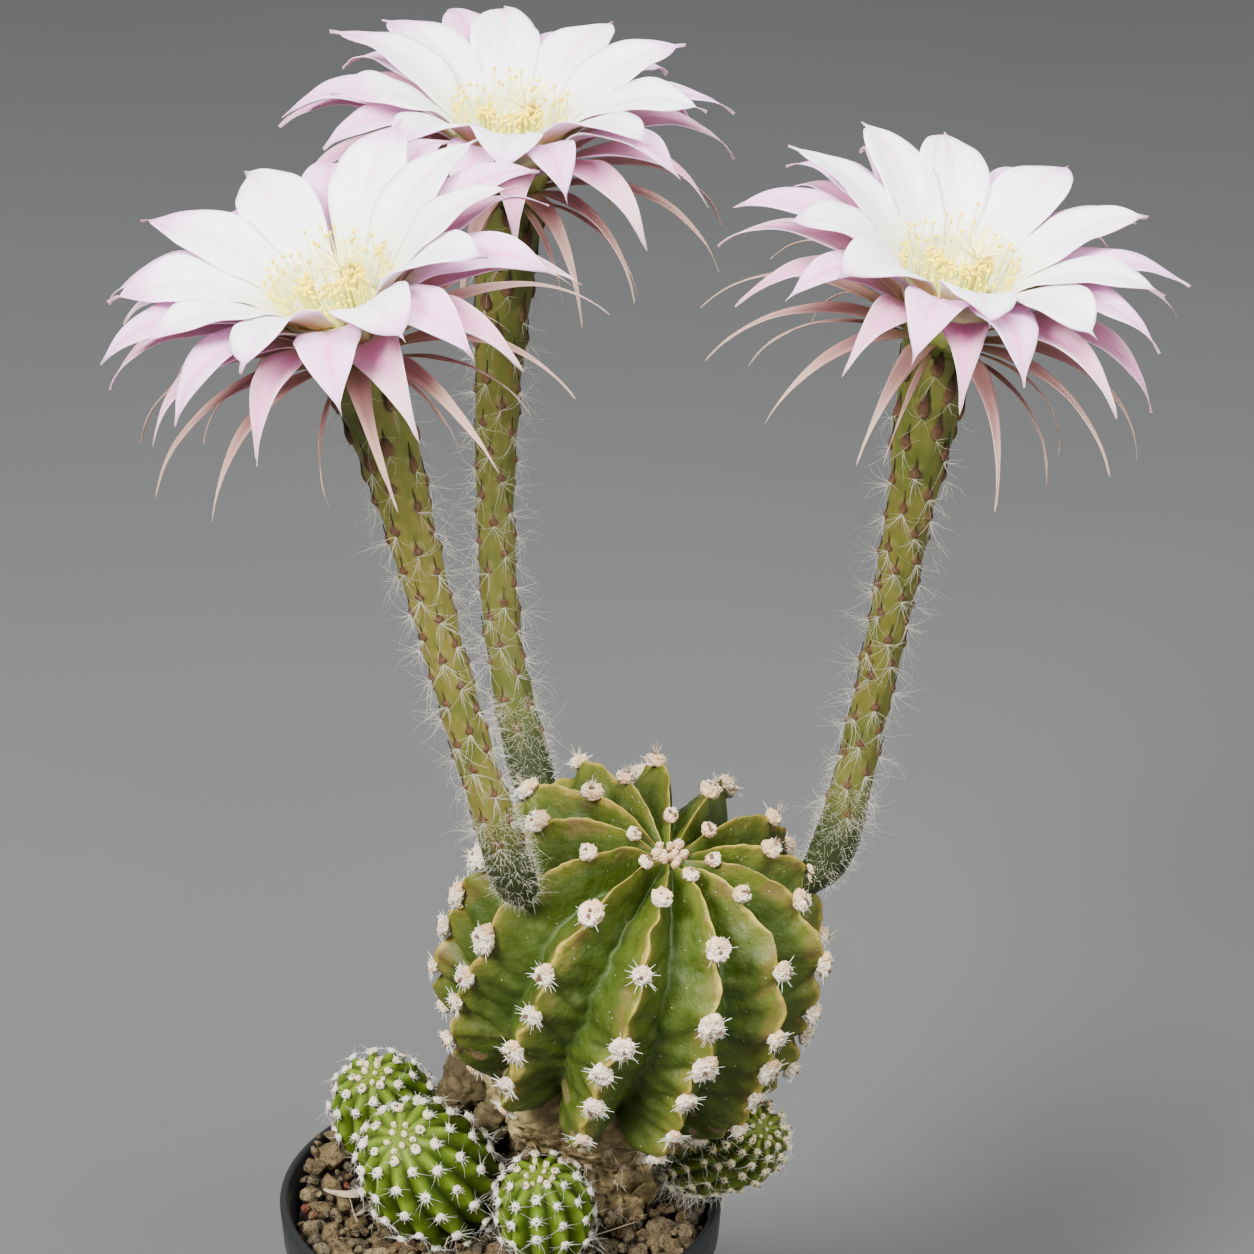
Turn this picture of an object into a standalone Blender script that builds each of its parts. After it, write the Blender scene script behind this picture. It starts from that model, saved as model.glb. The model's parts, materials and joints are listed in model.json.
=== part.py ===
"""A potted echinopsis: a ribbed globe on a corky trunk, four pups and three long-tubed flowers.

Sizes are millimetres until shaped_grid, lathe, ball and spike turn them into metres. +Z is up, the origin is
the centre of the pot's foot, and -Y is the side that the globe leans towards.
"""

import math
import random

import bmesh
import bpy
from mathutils import Matrix, Vector

MM = 0.001
GAP = 0.35
SEED = 11
SCRAP_FACES = 12
MERGE_DISTANCE = 0.002
SHARP_ANGLE = 40.0

# Pot and soil
POT_RADIUS = 60.0
POT_FOOT_RADIUS = 45.0
POT_HEIGHT = 100.0
POT_WALL = 2.2
FOOT_CHAMFER = 1.5
RIM_BAND = 12.0
BAND_INSET = 0.6
BAND_PROUD = 1.0
LIP_HEIGHT = 2.0
LIP_OUTSIDE = 1.4
LIP_INSIDE = 3.2
INNER_LIP = (0.6, 3.0)
LATHE_SIDES = 26
DRAIN_HOLES = 5
DRAIN_RADIUS = 4.0
DRAIN_CIRCLE = 28.0
DRAIN_SIDES = 10
SOIL_TOP = 92.0
SOIL_EDGE = (4.0, 1.0)
HOLE_DEPTH = 16.0
HOLE_ROOM = (0.8, 1.4)
HOLLOW_ROOM = 1.8
STONE_TRIES = 1500
STONE_RADIUS = (5.4, 7.4)
STONE_WIDTH = (0.75, 1.0)
STONE_HEIGHT = (0.6, 0.75)
STONE_RISE = 0.6
STONE_SPACING = 0.84
STONE_REACH = POT_RADIUS - 5.2

# Globe: a rounded barrel, taller above its widest ring than below it
GLOBE_CENTRE = Vector((32.7, -4.6, 165.9))
GLOBE_AXIS = Vector((0.27, -0.227, 0.936))
GLOBE_RADIUS = 49.5
GLOBE_TOP = 53.8
GLOBE_BOTTOM = 28.3
TOP_SQUARENESS = 3.5
BOTTOM_SQUARENESS = 2.9
GLOBE_DIMPLE = 7.0
DIMPLE_WIDTH = 11.0
GLOBE_RIBS = 13
FIRST_RIB_TURN = -0.085
COLUMNS_PER_RIB = 4
CREST_SHARPNESS = 0.45

# Grooves between ribs: their depth as a share of the radius, the angle that they reach it over below the tip,
# how much deeper they get low down and over which angles, and the angle that they fade out over at the bottom
GLOBE_GROOVE = 0.25
GROOVE_START = 0.42
LOW_GROOVE = 0.5
LOW_GROOVE_START = 1.3
LOW_GROOVE_SPAN = 0.8
GROOVE_FADE = 0.4

# Areoles: angles in degrees down from the tip, for the ribs that start low and for the others
AREOLES_LOW = (25.0, 45.0, 64.0, 76.0, 89.0, 104.0, 123.0)
AREOLES_HIGH = (13.0, 36.0, 55.0, 70.0, 83.0, 97.0, 113.0)
LOW_START_RIBS = (0, 2, 4, 6, 8, 9, 11)
AREOLE_JITTER = 1.8
AREOLE_LIFT = 2.4
SPINE_LENGTH = 5.0
SPINE_RADIUS = 0.45
SPINE_SPREAD = 0.7
SPINE_SINK = 0.5
TRUNK_LINE = ((27.0, 1.0, 152.0), (26.0, 2.5, 134.0), (26.5, 4.5, 116.0), (28.0, 6.5, 98.0),
              (28.0, 7.0, 80.0))
TRUNK_RADII = ((0.0, 30.0), (0.25, 28.0), (0.5, 16.0), (0.75, 12.5), (1.0, 10.5))
TRUNK_SIDES = 12
TRUNK_ROWS = 8
TRUNK_WAVE = 0.06

# Pups: the line from the base to the tip, the radius and the number of ribs
PUPS = {
    "pup_front_left": {
        "line": ((-10.5, 2.0, 92.0), (-16.0, -5.0, 104.0), (-21.5, -11.5, 116.0), (-26.0, -19.0, 128.0)),
        "radius": 17.2,
        "ribs": 13,
    },
    "pup_back_left": {
        "line": ((-26.5, 28.0, 91.5), (-29.5, 25.5, 102.5), (-33.0, 22.0, 114.5), (-35.5, 17.0, 126.0)),
        "radius": 14.4,
        "ribs": 12,
    },
    "pup_front": {
        "line": ((12.8, -18.3, 92.0), (12.4, -19.8, 101.5), (11.8, -21.3, 111.0), (11.0, -24.3, 120.0)),
        "radius": 12.3,
        "ribs": 11,
    },
    "pup_right": {
        "line": ((45.5, 5.5, 103.5), (52.2, 2.3, 109.3), (59.8, -2.8, 115.3), (65.8, -7.5, 120.0),
                 (70.2, -16.0, 128.8)),
        "radius": 11.7,
        "ribs": 13,
    },
}
PUP_GROOVE = 0.17
PUP_FULLNESS = 0.72
PUP_ROWS = 10
PUP_AREOLE_LIFT = 1.0
PUP_SPINES = 10
PUP_SPINE_LENGTH = 4.5
PUP_SPINE_SPREAD = 0.5
HOLLOW_SIDES = 14
HOLLOW_ROWS = 6

# Flowers: the rib and the angle of the areole that each one grows from, the line of the tube after that,
# the way the bloom faces, and how far its whorls are turned, as a share of the step between petals
FLOWERS = {
    "left": {
        "areole": (11, 46.5),
        "line": ((4.6, -39.0, 219.5), (-5.0, -42.5, 256.5), (-14.3, -44.5, 295.8),
                 (-21.8, -46.8, 330.0), (-30.1, -52.3, 362.9)),
        "facing": (-0.25, -0.16, 0.95),
        "turn": 0.5,
    },
    "back": {
        "areole": (8, 68.0),
        "line": ((8.0, 36.5, 211.0), (1.6, 45.0, 240.8), (-0.9, 54.0, 280.6),
                 (0.7, 59.5, 321.0), (3.5, 61.8, 364.0)),
        "facing": (0.03, -0.06, 0.99),
        "turn": 0.0,
    },
    "right": {
        "areole": (4, 46.0),
        "line": ((88.6, -1.0, 206.0), (95.3, 1.5, 235.0), (102.3, 0.0, 275.9),
                 (107.0, -3.0, 310.5), (111.7, -7.0, 349.9)),
        "facing": (0.19, -0.13, 0.97),
        "turn": 0.0,
    },
}
TUBE_SINK = 1.2
TUBE_SIDES = 9
TUBE_ROWS = 11
TUBE_RADII = ((0.0, 2.6), (0.025, 4.8), (0.09, 6.2), (0.17, 5.5), (0.28, 4.8), (0.5, 4.9), (0.72, 6.0),
              (0.9, 8.1), (1.0, 9.4))
TUBE_TURNS_FROM = 0.8
SOCKET_SHARE = 0.28
SOCKET_SIDES = 10
SOCKET_ROWS = 6
SCALE_ROWS = 6
SCALE_SHARES = (0.16, 0.92)
SCALES_PER_ROW = 3
SCALE_SPIRAL = 0.382
SCALE_LENGTH = (4.0, 3.0)
SCALE_RADIUS = (1.1, 0.6)
SCALE_SINK = 0.9
SCALE_LEAN = 0.34

# Bloom rings, heights above the top of the tube
SEPAL_RING = ((0.0, 0.4), (9.6, 0.4), (10.6, 4.4), (0.0, 4.4))
OUTER_RING = ((0.0, 4.8), (10.4, 4.8), (11.6, 8.2), (0.0, 8.2))
CUP = ((0.0, 8.6), (10.6, 8.6), (14.6, 16.5), (12.2, 16.5), (8.4, 11.0), (0.0, 11.0))
STAMEN_RING = ((4.2, 11.4), (7.8, 11.4), (9.8, 14.0), (5.4, 14.0))
RING_SIDES = 14
STAMEN_RING_SIDES = 12

# Whorls: length, half width and where along it that is, radius and height of the roots, pitch in degrees at
# the root and at the tip, how pointed the tip is, the root's width as a share, how far the edges turn up, and
# how much lower those that face -Y are pitched, in degrees at the root and at the tip
WHORLS = {
    "inner": {"count": 10, "length": 46.0, "half_width": 9.4, "widest": 0.62, "root": (10.2, 13.6),
              "pitch": (54.0, -4.0), "point": 1.25, "claw": 0.34, "dish": 0.16, "open": (2.0, 16.0)},
    "second": {"count": 10, "length": 52.0, "half_width": 8.2, "widest": 0.56, "root": (10.8, 11.4),
               "pitch": (50.0, -26.0), "point": 1.8, "claw": 0.34, "dish": 0.14, "open": (2.0, 8.0)},
    "outer": {"count": 11, "length": 57.0, "half_width": 6.6, "widest": 0.5, "root": (8.8, 6.6),
              "pitch": (42.0, -40.0), "point": 2.2, "claw": 0.38, "dish": 0.12, "open": (0.0, 0.0)},
    "sepal": {"count": 12, "length": 54.0, "half_width": 3.3, "widest": 0.42, "root": (8.0, 2.4),
              "pitch": (24.0, -66.0), "point": 2.2, "claw": 0.6, "dish": 0.10, "open": (0.0, 0.0)},
}
PETAL_STATIONS = (0.0, 0.24, 0.48, 0.7, 0.88)
SEPAL_STATIONS = (0.0, 0.3, 0.55, 0.8)
PETAL_KEEL = 1.0
KEEL_THINNING = 0.6
PETAL_BEND = 1.25
PETAL_STEPS = 28
PITCH_JITTER = 7.0
TURN_JITTER = 0.10
LENGTH_JITTER = 0.05
FILAMENTS = 15
FILAMENT_CIRCLE = 6.8
FILAMENT_FOOT = 13.0
FILAMENT_LENGTH = (17.3, 24.0)
FILAMENT_LEAN = (0.12, 0.42)
FILAMENT_RADIUS = 0.55
ANTHER_RADIUS = 0.9
PISTIL_LENGTH = 27.0
PISTIL_RADIUS = 1.1
STIGMA_LOBES = 5
STIGMA_LENGTH = 9.0
STIGMA_RADII = (0.7, 0.35)
STIGMA_TURN = 0.2
STIGMA_RISE = 0.8


def clear_scene():
    for obj in list(bpy.data.objects):
        bpy.data.objects.remove(obj)


def finish(name, colour, roughness):
    """A material with the part's colour and roughness."""
    material = bpy.data.materials.new(name)
    material.use_nodes = True
    shader = material.node_tree.nodes["Principled BSDF"]
    shader.inputs["Base Color"].default_value = (*colour, 1.0)
    shader.inputs["Roughness"].default_value = roughness
    shader.inputs["Metallic"].default_value = 0.0
    return material


def new_object(name, bm, material):
    """Links the bmesh as a mesh object with its faces pointing out."""
    bmesh.ops.recalc_face_normals(bm, faces=bm.faces)
    mesh = bpy.data.meshes.new(name)
    bm.to_mesh(mesh)
    bm.free()
    mesh.materials.append(material)
    mesh.shade_smooth()
    mesh.set_sharp_from_angle(angle=math.radians(SHARP_ANGLE))
    obj = bpy.data.objects.new(name, mesh)
    bpy.context.scene.collection.objects.link(obj)
    return obj


def applied(obj):
    """Gives obj the mesh that its modifiers make, drops the modifiers and any loose scrap of a few faces."""
    graph = bpy.context.evaluated_depsgraph_get()
    mesh = bpy.data.meshes.new_from_object(obj.evaluated_get(graph))
    obj.modifiers.clear()
    bm = bmesh.new()
    bm.from_mesh(mesh)
    bmesh.ops.dissolve_degenerate(bm, edges=bm.edges, dist=MM * 0.001)
    bodies = loose_bodies(bm)
    largest = max(len(body) for body in bodies)
    scraps = [face for body in bodies if len(body) < min(largest, SCRAP_FACES) for face in body]
    bmesh.ops.delete(bm, geom=scraps, context="FACES")
    bm.to_mesh(mesh)
    bm.free()
    obj.data = mesh


def loose_bodies(bm):
    """The faces of each body of the mesh that nothing joins to the rest."""
    left = set(bm.faces)
    bodies = []
    while left:
        body = set()
        reached = [left.pop()]
        while reached:
            face = reached.pop()
            body.add(face)
            near = {other for edge in face.edges for other in edge.link_faces} & left
            left -= near
            reached.extend(near)
        bodies.append(body)
    return bodies


def boolean(obj, others, operation):
    """Joins the others to obj, or cuts them from it, in one Boolean on a collection, and removes them."""
    group = bpy.data.collections.new(obj.name + "_" + operation.lower())
    bpy.context.scene.collection.children.link(group)
    for other in others:
        bpy.context.scene.collection.objects.unlink(other)
        group.objects.link(other)
    modifier = obj.modifiers.new("join", "BOOLEAN")
    modifier.operation = operation
    modifier.operand_type = "COLLECTION"
    modifier.collection = group
    modifier.solver = "MANIFOLD"
    applied(obj)
    for other in others:
        bpy.data.objects.remove(other)
    bpy.data.collections.remove(group)
    return obj


def shaped_grid(across, along, place, closed=False):
    """A grid of quads with each corner moved to place(u, v), u across and v along from 0 to 1.

    A closed one is wrapped round: its seam is merged, its ends are filled and a ring in one point is a tip.
    """
    bm = bmesh.new()
    bmesh.ops.create_grid(bm, x_segments=across, y_segments=along, size=0.5)
    for vert in bm.verts:
        vert.co = MM * Vector(place(vert.co.x + 0.5, vert.co.y + 0.5))
    if closed:
        bmesh.ops.remove_doubles(bm, verts=bm.verts, dist=MM * MERGE_DISTANCE)
        open_edges = [edge for edge in bm.edges if edge.is_boundary]
        bmesh.ops.holes_fill(bm, edges=open_edges, sides=0)
    return bm


def lathe(profile, sides=LATHE_SIDES):
    """Spins a profile of (radius, height) points round Z. It ends on the axis, or it closes on itself."""
    bm = bmesh.new()
    verts = [bm.verts.new((MM * radius, 0.0, MM * height)) for radius, height in profile]
    edges = [bm.edges.new(pair) for pair in zip(verts, verts[1:])]
    if profile[0][0] > 0.0:
        edges.append(bm.edges.new((verts[-1], verts[0])))
    bmesh.ops.spin(bm, geom=verts + edges, axis=(0, 0, 1), cent=(0, 0, 0), angle=math.tau, steps=sides,
                   use_merge=True)
    bmesh.ops.remove_doubles(bm, verts=bm.verts, dist=MM * MERGE_DISTANCE)
    return bm


def ball(centre, radii, turn):
    """An icosphere of a few faces with its own three radii, turned about Z."""
    bm = bmesh.new()
    scale = Matrix.Diagonal((*radii, 1.0))
    place = Matrix.Translation(MM * Vector(centre)) @ Matrix.Rotation(turn, 4, "Z") @ scale
    bmesh.ops.create_icosphere(bm, subdivisions=1, radius=MM, matrix=place)
    return bm


def upright(direction, at):
    """The matrix that carries +Z to direction and the origin to the point at, in millimetres."""
    along = Vector(direction).normalized()
    turn = Matrix((*basis(along), along)).transposed().to_4x4()
    return Matrix.Translation(MM * Vector(at)) @ turn


def spike(root, direction, length, radius, sides=3, tip=0.0):
    """A thin cone from root, in millimetres, with three sides unless it says otherwise."""
    bm = bmesh.new()
    matrix = upright(direction, root) @ Matrix.Translation((0, 0, MM * length / 2))
    bmesh.ops.create_cone(bm, cap_ends=True, segments=sides, radius1=MM * radius, radius2=MM * tip,
                          depth=MM * length, matrix=matrix)
    return bm


def eased(value):
    """Smooth step from 0 to 1."""
    value = min(max(value, 0.0), 1.0)
    return value * value * (3.0 - 2.0 * value)


def between(table, value):
    """The straight-line reading of a table of (position, amount) pairs."""
    for (low, start), (high, end) in zip(table, table[1:]):
        if value <= high:
            return start + (end - start) * (value - low) / (high - low)
    return table[-1][1]


def smooth_line(points, share):
    """The point a share of the length along a smooth curve through the points."""
    points = [Vector(point) for point in points]
    lengths = [(end - start).length for start, end in zip(points, points[1:])]
    left = share * sum(lengths)
    index = 0
    while index < len(lengths) - 1 and left > lengths[index]:
        left -= lengths[index]
        index += 1
    t = left / lengths[index]
    start, end = points[index], points[index + 1]
    before = points[index - 1] if index else 2 * start - end
    after = points[index + 2] if index + 2 < len(points) else 2 * end - start
    return 0.5 * (2 * start + (end - before) * t + (2 * before - 5 * start + 4 * end - after) * t * t
                  + (3 * start - before - 3 * end + after) * t * t * t)


def basis(along):
    """Two directions square to along: the first as near +X as it can be, the second as near +Y."""
    side = Vector((0.0, 1.0, 0.0)).cross(along).normalized()
    return side, along.cross(side)


def frame_at(points, share):
    """The curve's point, and two directions square to it that don't twist along its length."""
    here = smooth_line(points, share)
    ahead = smooth_line(points, min(share + 0.01, 1.0))
    behind = smooth_line(points, max(share - 0.01, 0.0))
    along = (ahead - behind).normalized()
    return here, *basis(along), along


def rib_ridge(turn, ribs):
    """How near a turn is to a crest: 1 on a rib's edge, 0 in the groove between two ribs."""
    wave = abs(math.cos(0.5 * ribs * turn))
    return (1.0 - CREST_SHARPNESS) * wave + CREST_SHARPNESS * wave ** 3


def rib_turn(rib):
    """The turn of a rib's crest round the globe's axis, from the side that faces -Y towards +X."""
    return FIRST_RIB_TURN + math.tau * rib / GLOBE_RIBS


def globe_point(turn, angle, lift=0.0):
    """A point of the globe: turn round its axis, angle down from its tip, raised by lift."""
    above = angle < math.pi / 2
    half_height = GLOBE_TOP if above else GLOBE_BOTTOM
    power = TOP_SQUARENESS if above else BOTTOM_SQUARENESS
    across = math.sin(angle) / GLOBE_RADIUS
    upward = abs(math.cos(angle)) / half_height
    reach = (across ** power + upward ** power) ** (-1.0 / power)
    groove = GLOBE_GROOVE * (1.0 + LOW_GROOVE * eased((angle - LOW_GROOVE_START) / LOW_GROOVE_SPAN))
    groove *= eased(angle / GROOVE_START) * eased((math.pi - angle) / GROOVE_FADE)
    reach *= 1.0 - groove * (1.0 - rib_ridge(turn - FIRST_RIB_TURN, GLOBE_RIBS))
    ring = reach * math.sin(angle)
    height = reach * math.cos(angle)
    if above:
        height -= GLOBE_DIMPLE * math.exp(-((ring / DIMPLE_WIDTH) ** 2))
    local = Vector((ring * math.sin(turn), -ring * math.cos(turn), height))
    local += local.normalized() * lift
    axis = GLOBE_AXIS.normalized()
    side, back = basis(axis)
    return GLOBE_CENTRE + side * local.x + back * local.y + axis * local.z


def areole_angles(rib):
    """How far down a rib its areoles sit. Most ribs start higher or lower than the rib beside them."""
    rib %= GLOBE_RIBS
    draw = random.Random(SEED + rib)
    base = AREOLES_LOW if rib in LOW_START_RIBS else AREOLES_HIGH
    return [angle + draw.uniform(-1.0, 1.0) * AREOLE_JITTER for angle in base]


def globe_angle(turn, row):
    """The angle of a row of the globe's grid. Every second row runs through the areoles of each rib."""
    place = (turn - FIRST_RIB_TURN) / math.tau * GLOBE_RIBS
    rib = math.floor(place + 1e-6)
    angles = []
    for neighbour in (rib, rib + 1):
        stops = (0.0, *areole_angles(neighbour), 180.0)
        low = min(row // 2, len(stops) - 2)
        angles.append(stops[low] + (stops[low + 1] - stops[low]) * (0.5 * row - low))
    part = place - rib
    return math.radians(angles[0] * (1.0 - part) + angles[1] * part)


def build_globe(green):
    """The ribbed globe with its trunk and spines. Its areoles are bumps of the grid on the crests."""
    columns = GLOBE_RIBS * COLUMNS_PER_RIB
    rows = 2 * (len(AREOLES_LOW) + 1)

    def place(u, v):
        row = round(v * rows)
        column = round(u * columns) % columns
        raised = column % COLUMNS_PER_RIB == 0 and row % 2 == 0 and 0 < row < rows
        turn = FIRST_RIB_TURN + math.tau * column / columns
        return globe_point(turn, globe_angle(turn, row), AREOLE_LIFT if raised else 0.0)

    globe = new_object("cactus_body", shaped_grid(columns, rows, place, closed=True), green)
    parts = [build_trunk(green)]
    draw = random.Random(SEED + 1)
    for rib in range(GLOBE_RIBS):
        for angle in areole_angles(rib)[1:]:
            root = globe_point(rib_turn(rib), math.radians(angle))
            out = (root - GLOBE_CENTRE).normalized()
            way = out + SPINE_SPREAD * Vector([draw.uniform(-1.0, 1.0) for _ in range(3)])
            bm = spike(root - SPINE_SINK * out, way, SPINE_LENGTH + AREOLE_LIFT, SPINE_RADIUS)
            parts.append(new_object("spine", bm, green))
    return boolean(globe, parts, "UNION")


def build_trunk(green):
    """The corky trunk that carries the globe, standing in the soil."""

    def place(u, v):
        here, side, across, _ = frame_at(TRUNK_LINE, v)
        radius = between(TRUNK_RADII, v) * (1.0 + TRUNK_WAVE * math.sin(5 * math.tau * u + 4.0 * v))
        return here + radius * (side * math.cos(math.tau * u) + across * math.sin(math.tau * u))

    return new_object("trunk", shaped_grid(TRUNK_SIDES, TRUNK_ROWS, place, closed=True), green)


def pup_point(pup, turn, share, swell=0.0):
    """A point of a pup's skin: turn round its line, share of the way up from the base, swollen outwards."""
    angle = math.pi * share
    groove = PUP_GROOVE * math.sin(angle) ** 0.5
    scale = 1.0 - groove * (1.0 - rib_ridge(turn, pup["ribs"]))
    ring = pup["radius"] * math.sin(angle) ** PUP_FULLNESS * scale + swell
    here, side, across, along = frame_at(pup["line"], 0.5 - 0.5 * math.cos(angle))
    return here - swell * along * math.cos(angle) + ring * (side * math.cos(turn) + across * math.sin(turn))


def build_pup(name, pup, green):
    """A pup: two strips to each rib, with areoles raised on the crests by formula, and longer spines."""
    ribs = pup["ribs"]

    def place(u, v):
        row = round(v * PUP_ROWS)
        on_crest = round(u * ribs * 2) % 2 == 0
        raised = on_crest and row % 2 == 0 and 0 < row < PUP_ROWS
        return pup_point(pup, math.tau * u, v, PUP_AREOLE_LIFT if raised else 0.0)

    body = new_object(name, shaped_grid(ribs * 2, PUP_ROWS, place, closed=True), green)
    draw = random.Random(SEED + len(name))
    spines = []
    for number in range(PUP_SPINES):
        turn = math.tau * (number * 5 % ribs) / ribs
        share = (4 + 2 * (number % 3)) / PUP_ROWS
        root = pup_point(pup, turn, share)
        out = (root - smooth_line(pup["line"], share)).normalized()
        way = out + PUP_SPINE_SPREAD * Vector([draw.uniform(-1.0, 1.0) for _ in range(3)])
        bm = spike(root - SPINE_SINK * out, way, PUP_SPINE_LENGTH, SPINE_RADIUS)
        spines.append(new_object("spine", bm, green))
    return boolean(body, spines, "UNION")


def build_pot(plastic):
    """The round pot: a tapered wall, a band under a rounded lip, and a floor with drain holes."""
    under_band = POT_HEIGHT - RIM_BAND
    profile = (
        (0.0, 0.0),
        (POT_FOOT_RADIUS - FOOT_CHAMFER, 0.0),
        (POT_FOOT_RADIUS, FOOT_CHAMFER),
        (band_radius() - BAND_INSET, under_band - BAND_PROUD),
        (band_radius() + BAND_PROUD, under_band),
        (POT_RADIUS, POT_HEIGHT - LIP_HEIGHT),
        (POT_RADIUS - LIP_OUTSIDE, POT_HEIGHT),
        (POT_RADIUS - LIP_INSIDE, POT_HEIGHT),
        *reversed(pot_inside()),
    )
    pot = new_object("pot", lathe(profile), plastic)
    drains = []
    for number in range(DRAIN_HOLES):
        turn = math.tau * (number + 0.5) / DRAIN_HOLES
        centre = (DRAIN_CIRCLE * math.cos(turn), DRAIN_CIRCLE * math.sin(turn), -POT_WALL)
        bm = spike(centre, (0, 0, 1), 3 * POT_WALL, DRAIN_RADIUS, DRAIN_SIDES, DRAIN_RADIUS)
        drains.append(new_object("drain", bm, plastic))
    return boolean(pot, drains, "DIFFERENCE")


def band_radius():
    """The radius of the pot's even taper at the foot of its rim band."""
    return POT_RADIUS - (POT_RADIUS - POT_FOOT_RADIUS) * RIM_BAND / POT_HEIGHT


def pot_inside():
    """The inner profile of the pot from the middle of its floor up to the rim."""
    inner_top = band_radius() - BAND_INSET - POT_WALL
    return (
        (0.0, POT_WALL),
        (POT_FOOT_RADIUS - POT_WALL, POT_WALL),
        (inner_top, POT_HEIGHT - RIM_BAND),
        (inner_top + INNER_LIP[0], POT_HEIGHT - INNER_LIP[1]),
    )


def build_soil(brown):
    """The soil with its grit, hollowed where the trunk and the pups stand."""
    _, floor, shoulder, _ = pot_inside()
    profile = (
        (0.0, floor[1] + GAP),
        (floor[0] - 2 * GAP, floor[1] + GAP),
        (shoulder[0] - GAP, shoulder[1]),
        (shoulder[0] - GAP, SOIL_TOP - SOIL_EDGE[1]),
        (shoulder[0] - SOIL_EDGE[0], SOIL_TOP),
        (0.0, SOIL_TOP),
    )
    soil = new_object("soil", lathe(profile), brown)
    boolean(soil, build_stones(brown), "UNION")
    return boolean(soil, build_hollows(brown), "DIFFERENCE")


def build_hollows(brown):
    """The room that the plants take in the soil: a swollen copy of each pup and a hole round the trunk."""
    foot, top = (TRUNK_RADII[-2][1] + room for room in HOLE_ROOM)
    root = (*TRUNK_LINE[-1][:2], SOIL_TOP - HOLE_DEPTH)
    hole = spike(root, (0, 0, 1), 2 * HOLE_DEPTH, foot, TRUNK_SIDES, top)
    hollows = [new_object("trunk_hole", hole, brown)]
    for pup in PUPS.values():
        smooth_pup = {**pup, "ribs": 0}

        def place(u, v):
            return pup_point(smooth_pup, math.tau * u, v, HOLLOW_ROOM)

        hollow = shaped_grid(HOLLOW_SIDES, HOLLOW_ROWS, place, closed=True)
        hollows.append(new_object("pup_hollow", hollow, brown))
    return hollows


def build_stones(brown):
    """Grit scattered over the soil by seeded tries, half sunk and clear of the plants and the rim."""
    draw = random.Random(SEED + 2)
    keep_out = [(Vector(TRUNK_LINE[-1]), TRUNK_RADII[-1][1] + 1.0)]
    keep_out += [(Vector(pup["line"][0]), pup["radius"] * 0.5) for pup in PUPS.values()]
    placed = []
    for _ in range(STONE_TRIES):
        size = draw.uniform(*STONE_RADIUS)
        way = draw.uniform(0.0, math.tau)
        out = (STONE_REACH - size) * math.sqrt(draw.random())
        height = SOIL_TOP + draw.uniform(-STONE_RISE, STONE_RISE)
        spot = Vector((out * math.cos(way), out * math.sin(way), height))
        radii = (size, size * draw.uniform(*STONE_WIDTH), size * draw.uniform(*STONE_HEIGHT))
        turn = draw.uniform(0.0, math.tau)
        taken = keep_out + [(other, STONE_SPACING * (size + wide[0])) for other, wide, _ in placed]
        if all((spot - middle).to_2d().length >= room for middle, room in taken):
            placed.append((spot, radii, turn))
    return [new_object("stone", ball(*stone), brown) for stone in placed]


def tube_radius(share):
    return between(TUBE_RADII, share)


def tube_frame(flower, share):
    """A tube's centre and its three directions, turning towards the bloom's own axis under the bloom."""
    here, _, _, along = frame_at(tube_line(flower), share)
    facing = Vector(flower["facing"]).normalized()
    along = along.lerp(facing, eased((share - TUBE_TURNS_FROM) / (1.0 - TUBE_TURNS_FROM))).normalized()
    return here, *basis(along), along


def build_tube(name, flower, green):
    """A floral tube with its bulb and its brown scales in spiral rows."""

    def place(u, v):
        here, side, across, _ = tube_frame(flower, v)
        return here + tube_radius(v) * (side * math.cos(math.tau * u) + across * math.sin(math.tau * u))

    tube = new_object(name + "_tube", shaped_grid(TUBE_SIDES, TUBE_ROWS, place, closed=True), green)
    scales = []
    first, last = SCALE_SHARES
    for row in range(SCALE_ROWS):
        share = first + (last - first) * row / (SCALE_ROWS - 1)
        here, side, across, along = tube_frame(flower, share)
        length, radius = (least + growth * share for least, growth in (SCALE_LENGTH, SCALE_RADIUS))
        for number in range(SCALES_PER_ROW):
            turn = math.tau * (number / SCALES_PER_ROW + SCALE_SPIRAL * row)
            out = side * math.cos(turn) + across * math.sin(turn)
            root = here + out * (tube_radius(share) - SCALE_SINK)
            scales.append(new_object("scale", spike(root, along + SCALE_LEAN * out, length, radius), green))
    return boolean(tube, scales, "UNION")


def petal_profile(length, root, pitch):
    """The side view of a petal's midrib as (radius, height, pitch) stations, from root to tip."""
    radius, height = root
    stations = []
    stride = length / PETAL_STEPS
    for step in range(PETAL_STEPS + 1):
        bend = (step / PETAL_STEPS) ** PETAL_BEND
        angle = math.radians(pitch[0] + (pitch[1] - pitch[0]) * bend)
        stations.append((radius, height, angle))
        radius += stride * math.cos(angle)
        height += stride * math.sin(angle)
    return stations


def petal_half_width(whorl, share):
    """Half the width at a share of the length: a narrow claw, the widest part, and a pointed end."""
    claw, widest = whorl["claw"], whorl["widest"]
    if share < widest:
        return whorl["half_width"] * (claw + (1.0 - claw) * eased(share / widest))
    fall = (share - widest) / (1.0 - widest)
    return whorl["half_width"] * max(1.0 - fall ** 2, 0.0) ** (0.5 * whorl["point"])


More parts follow.
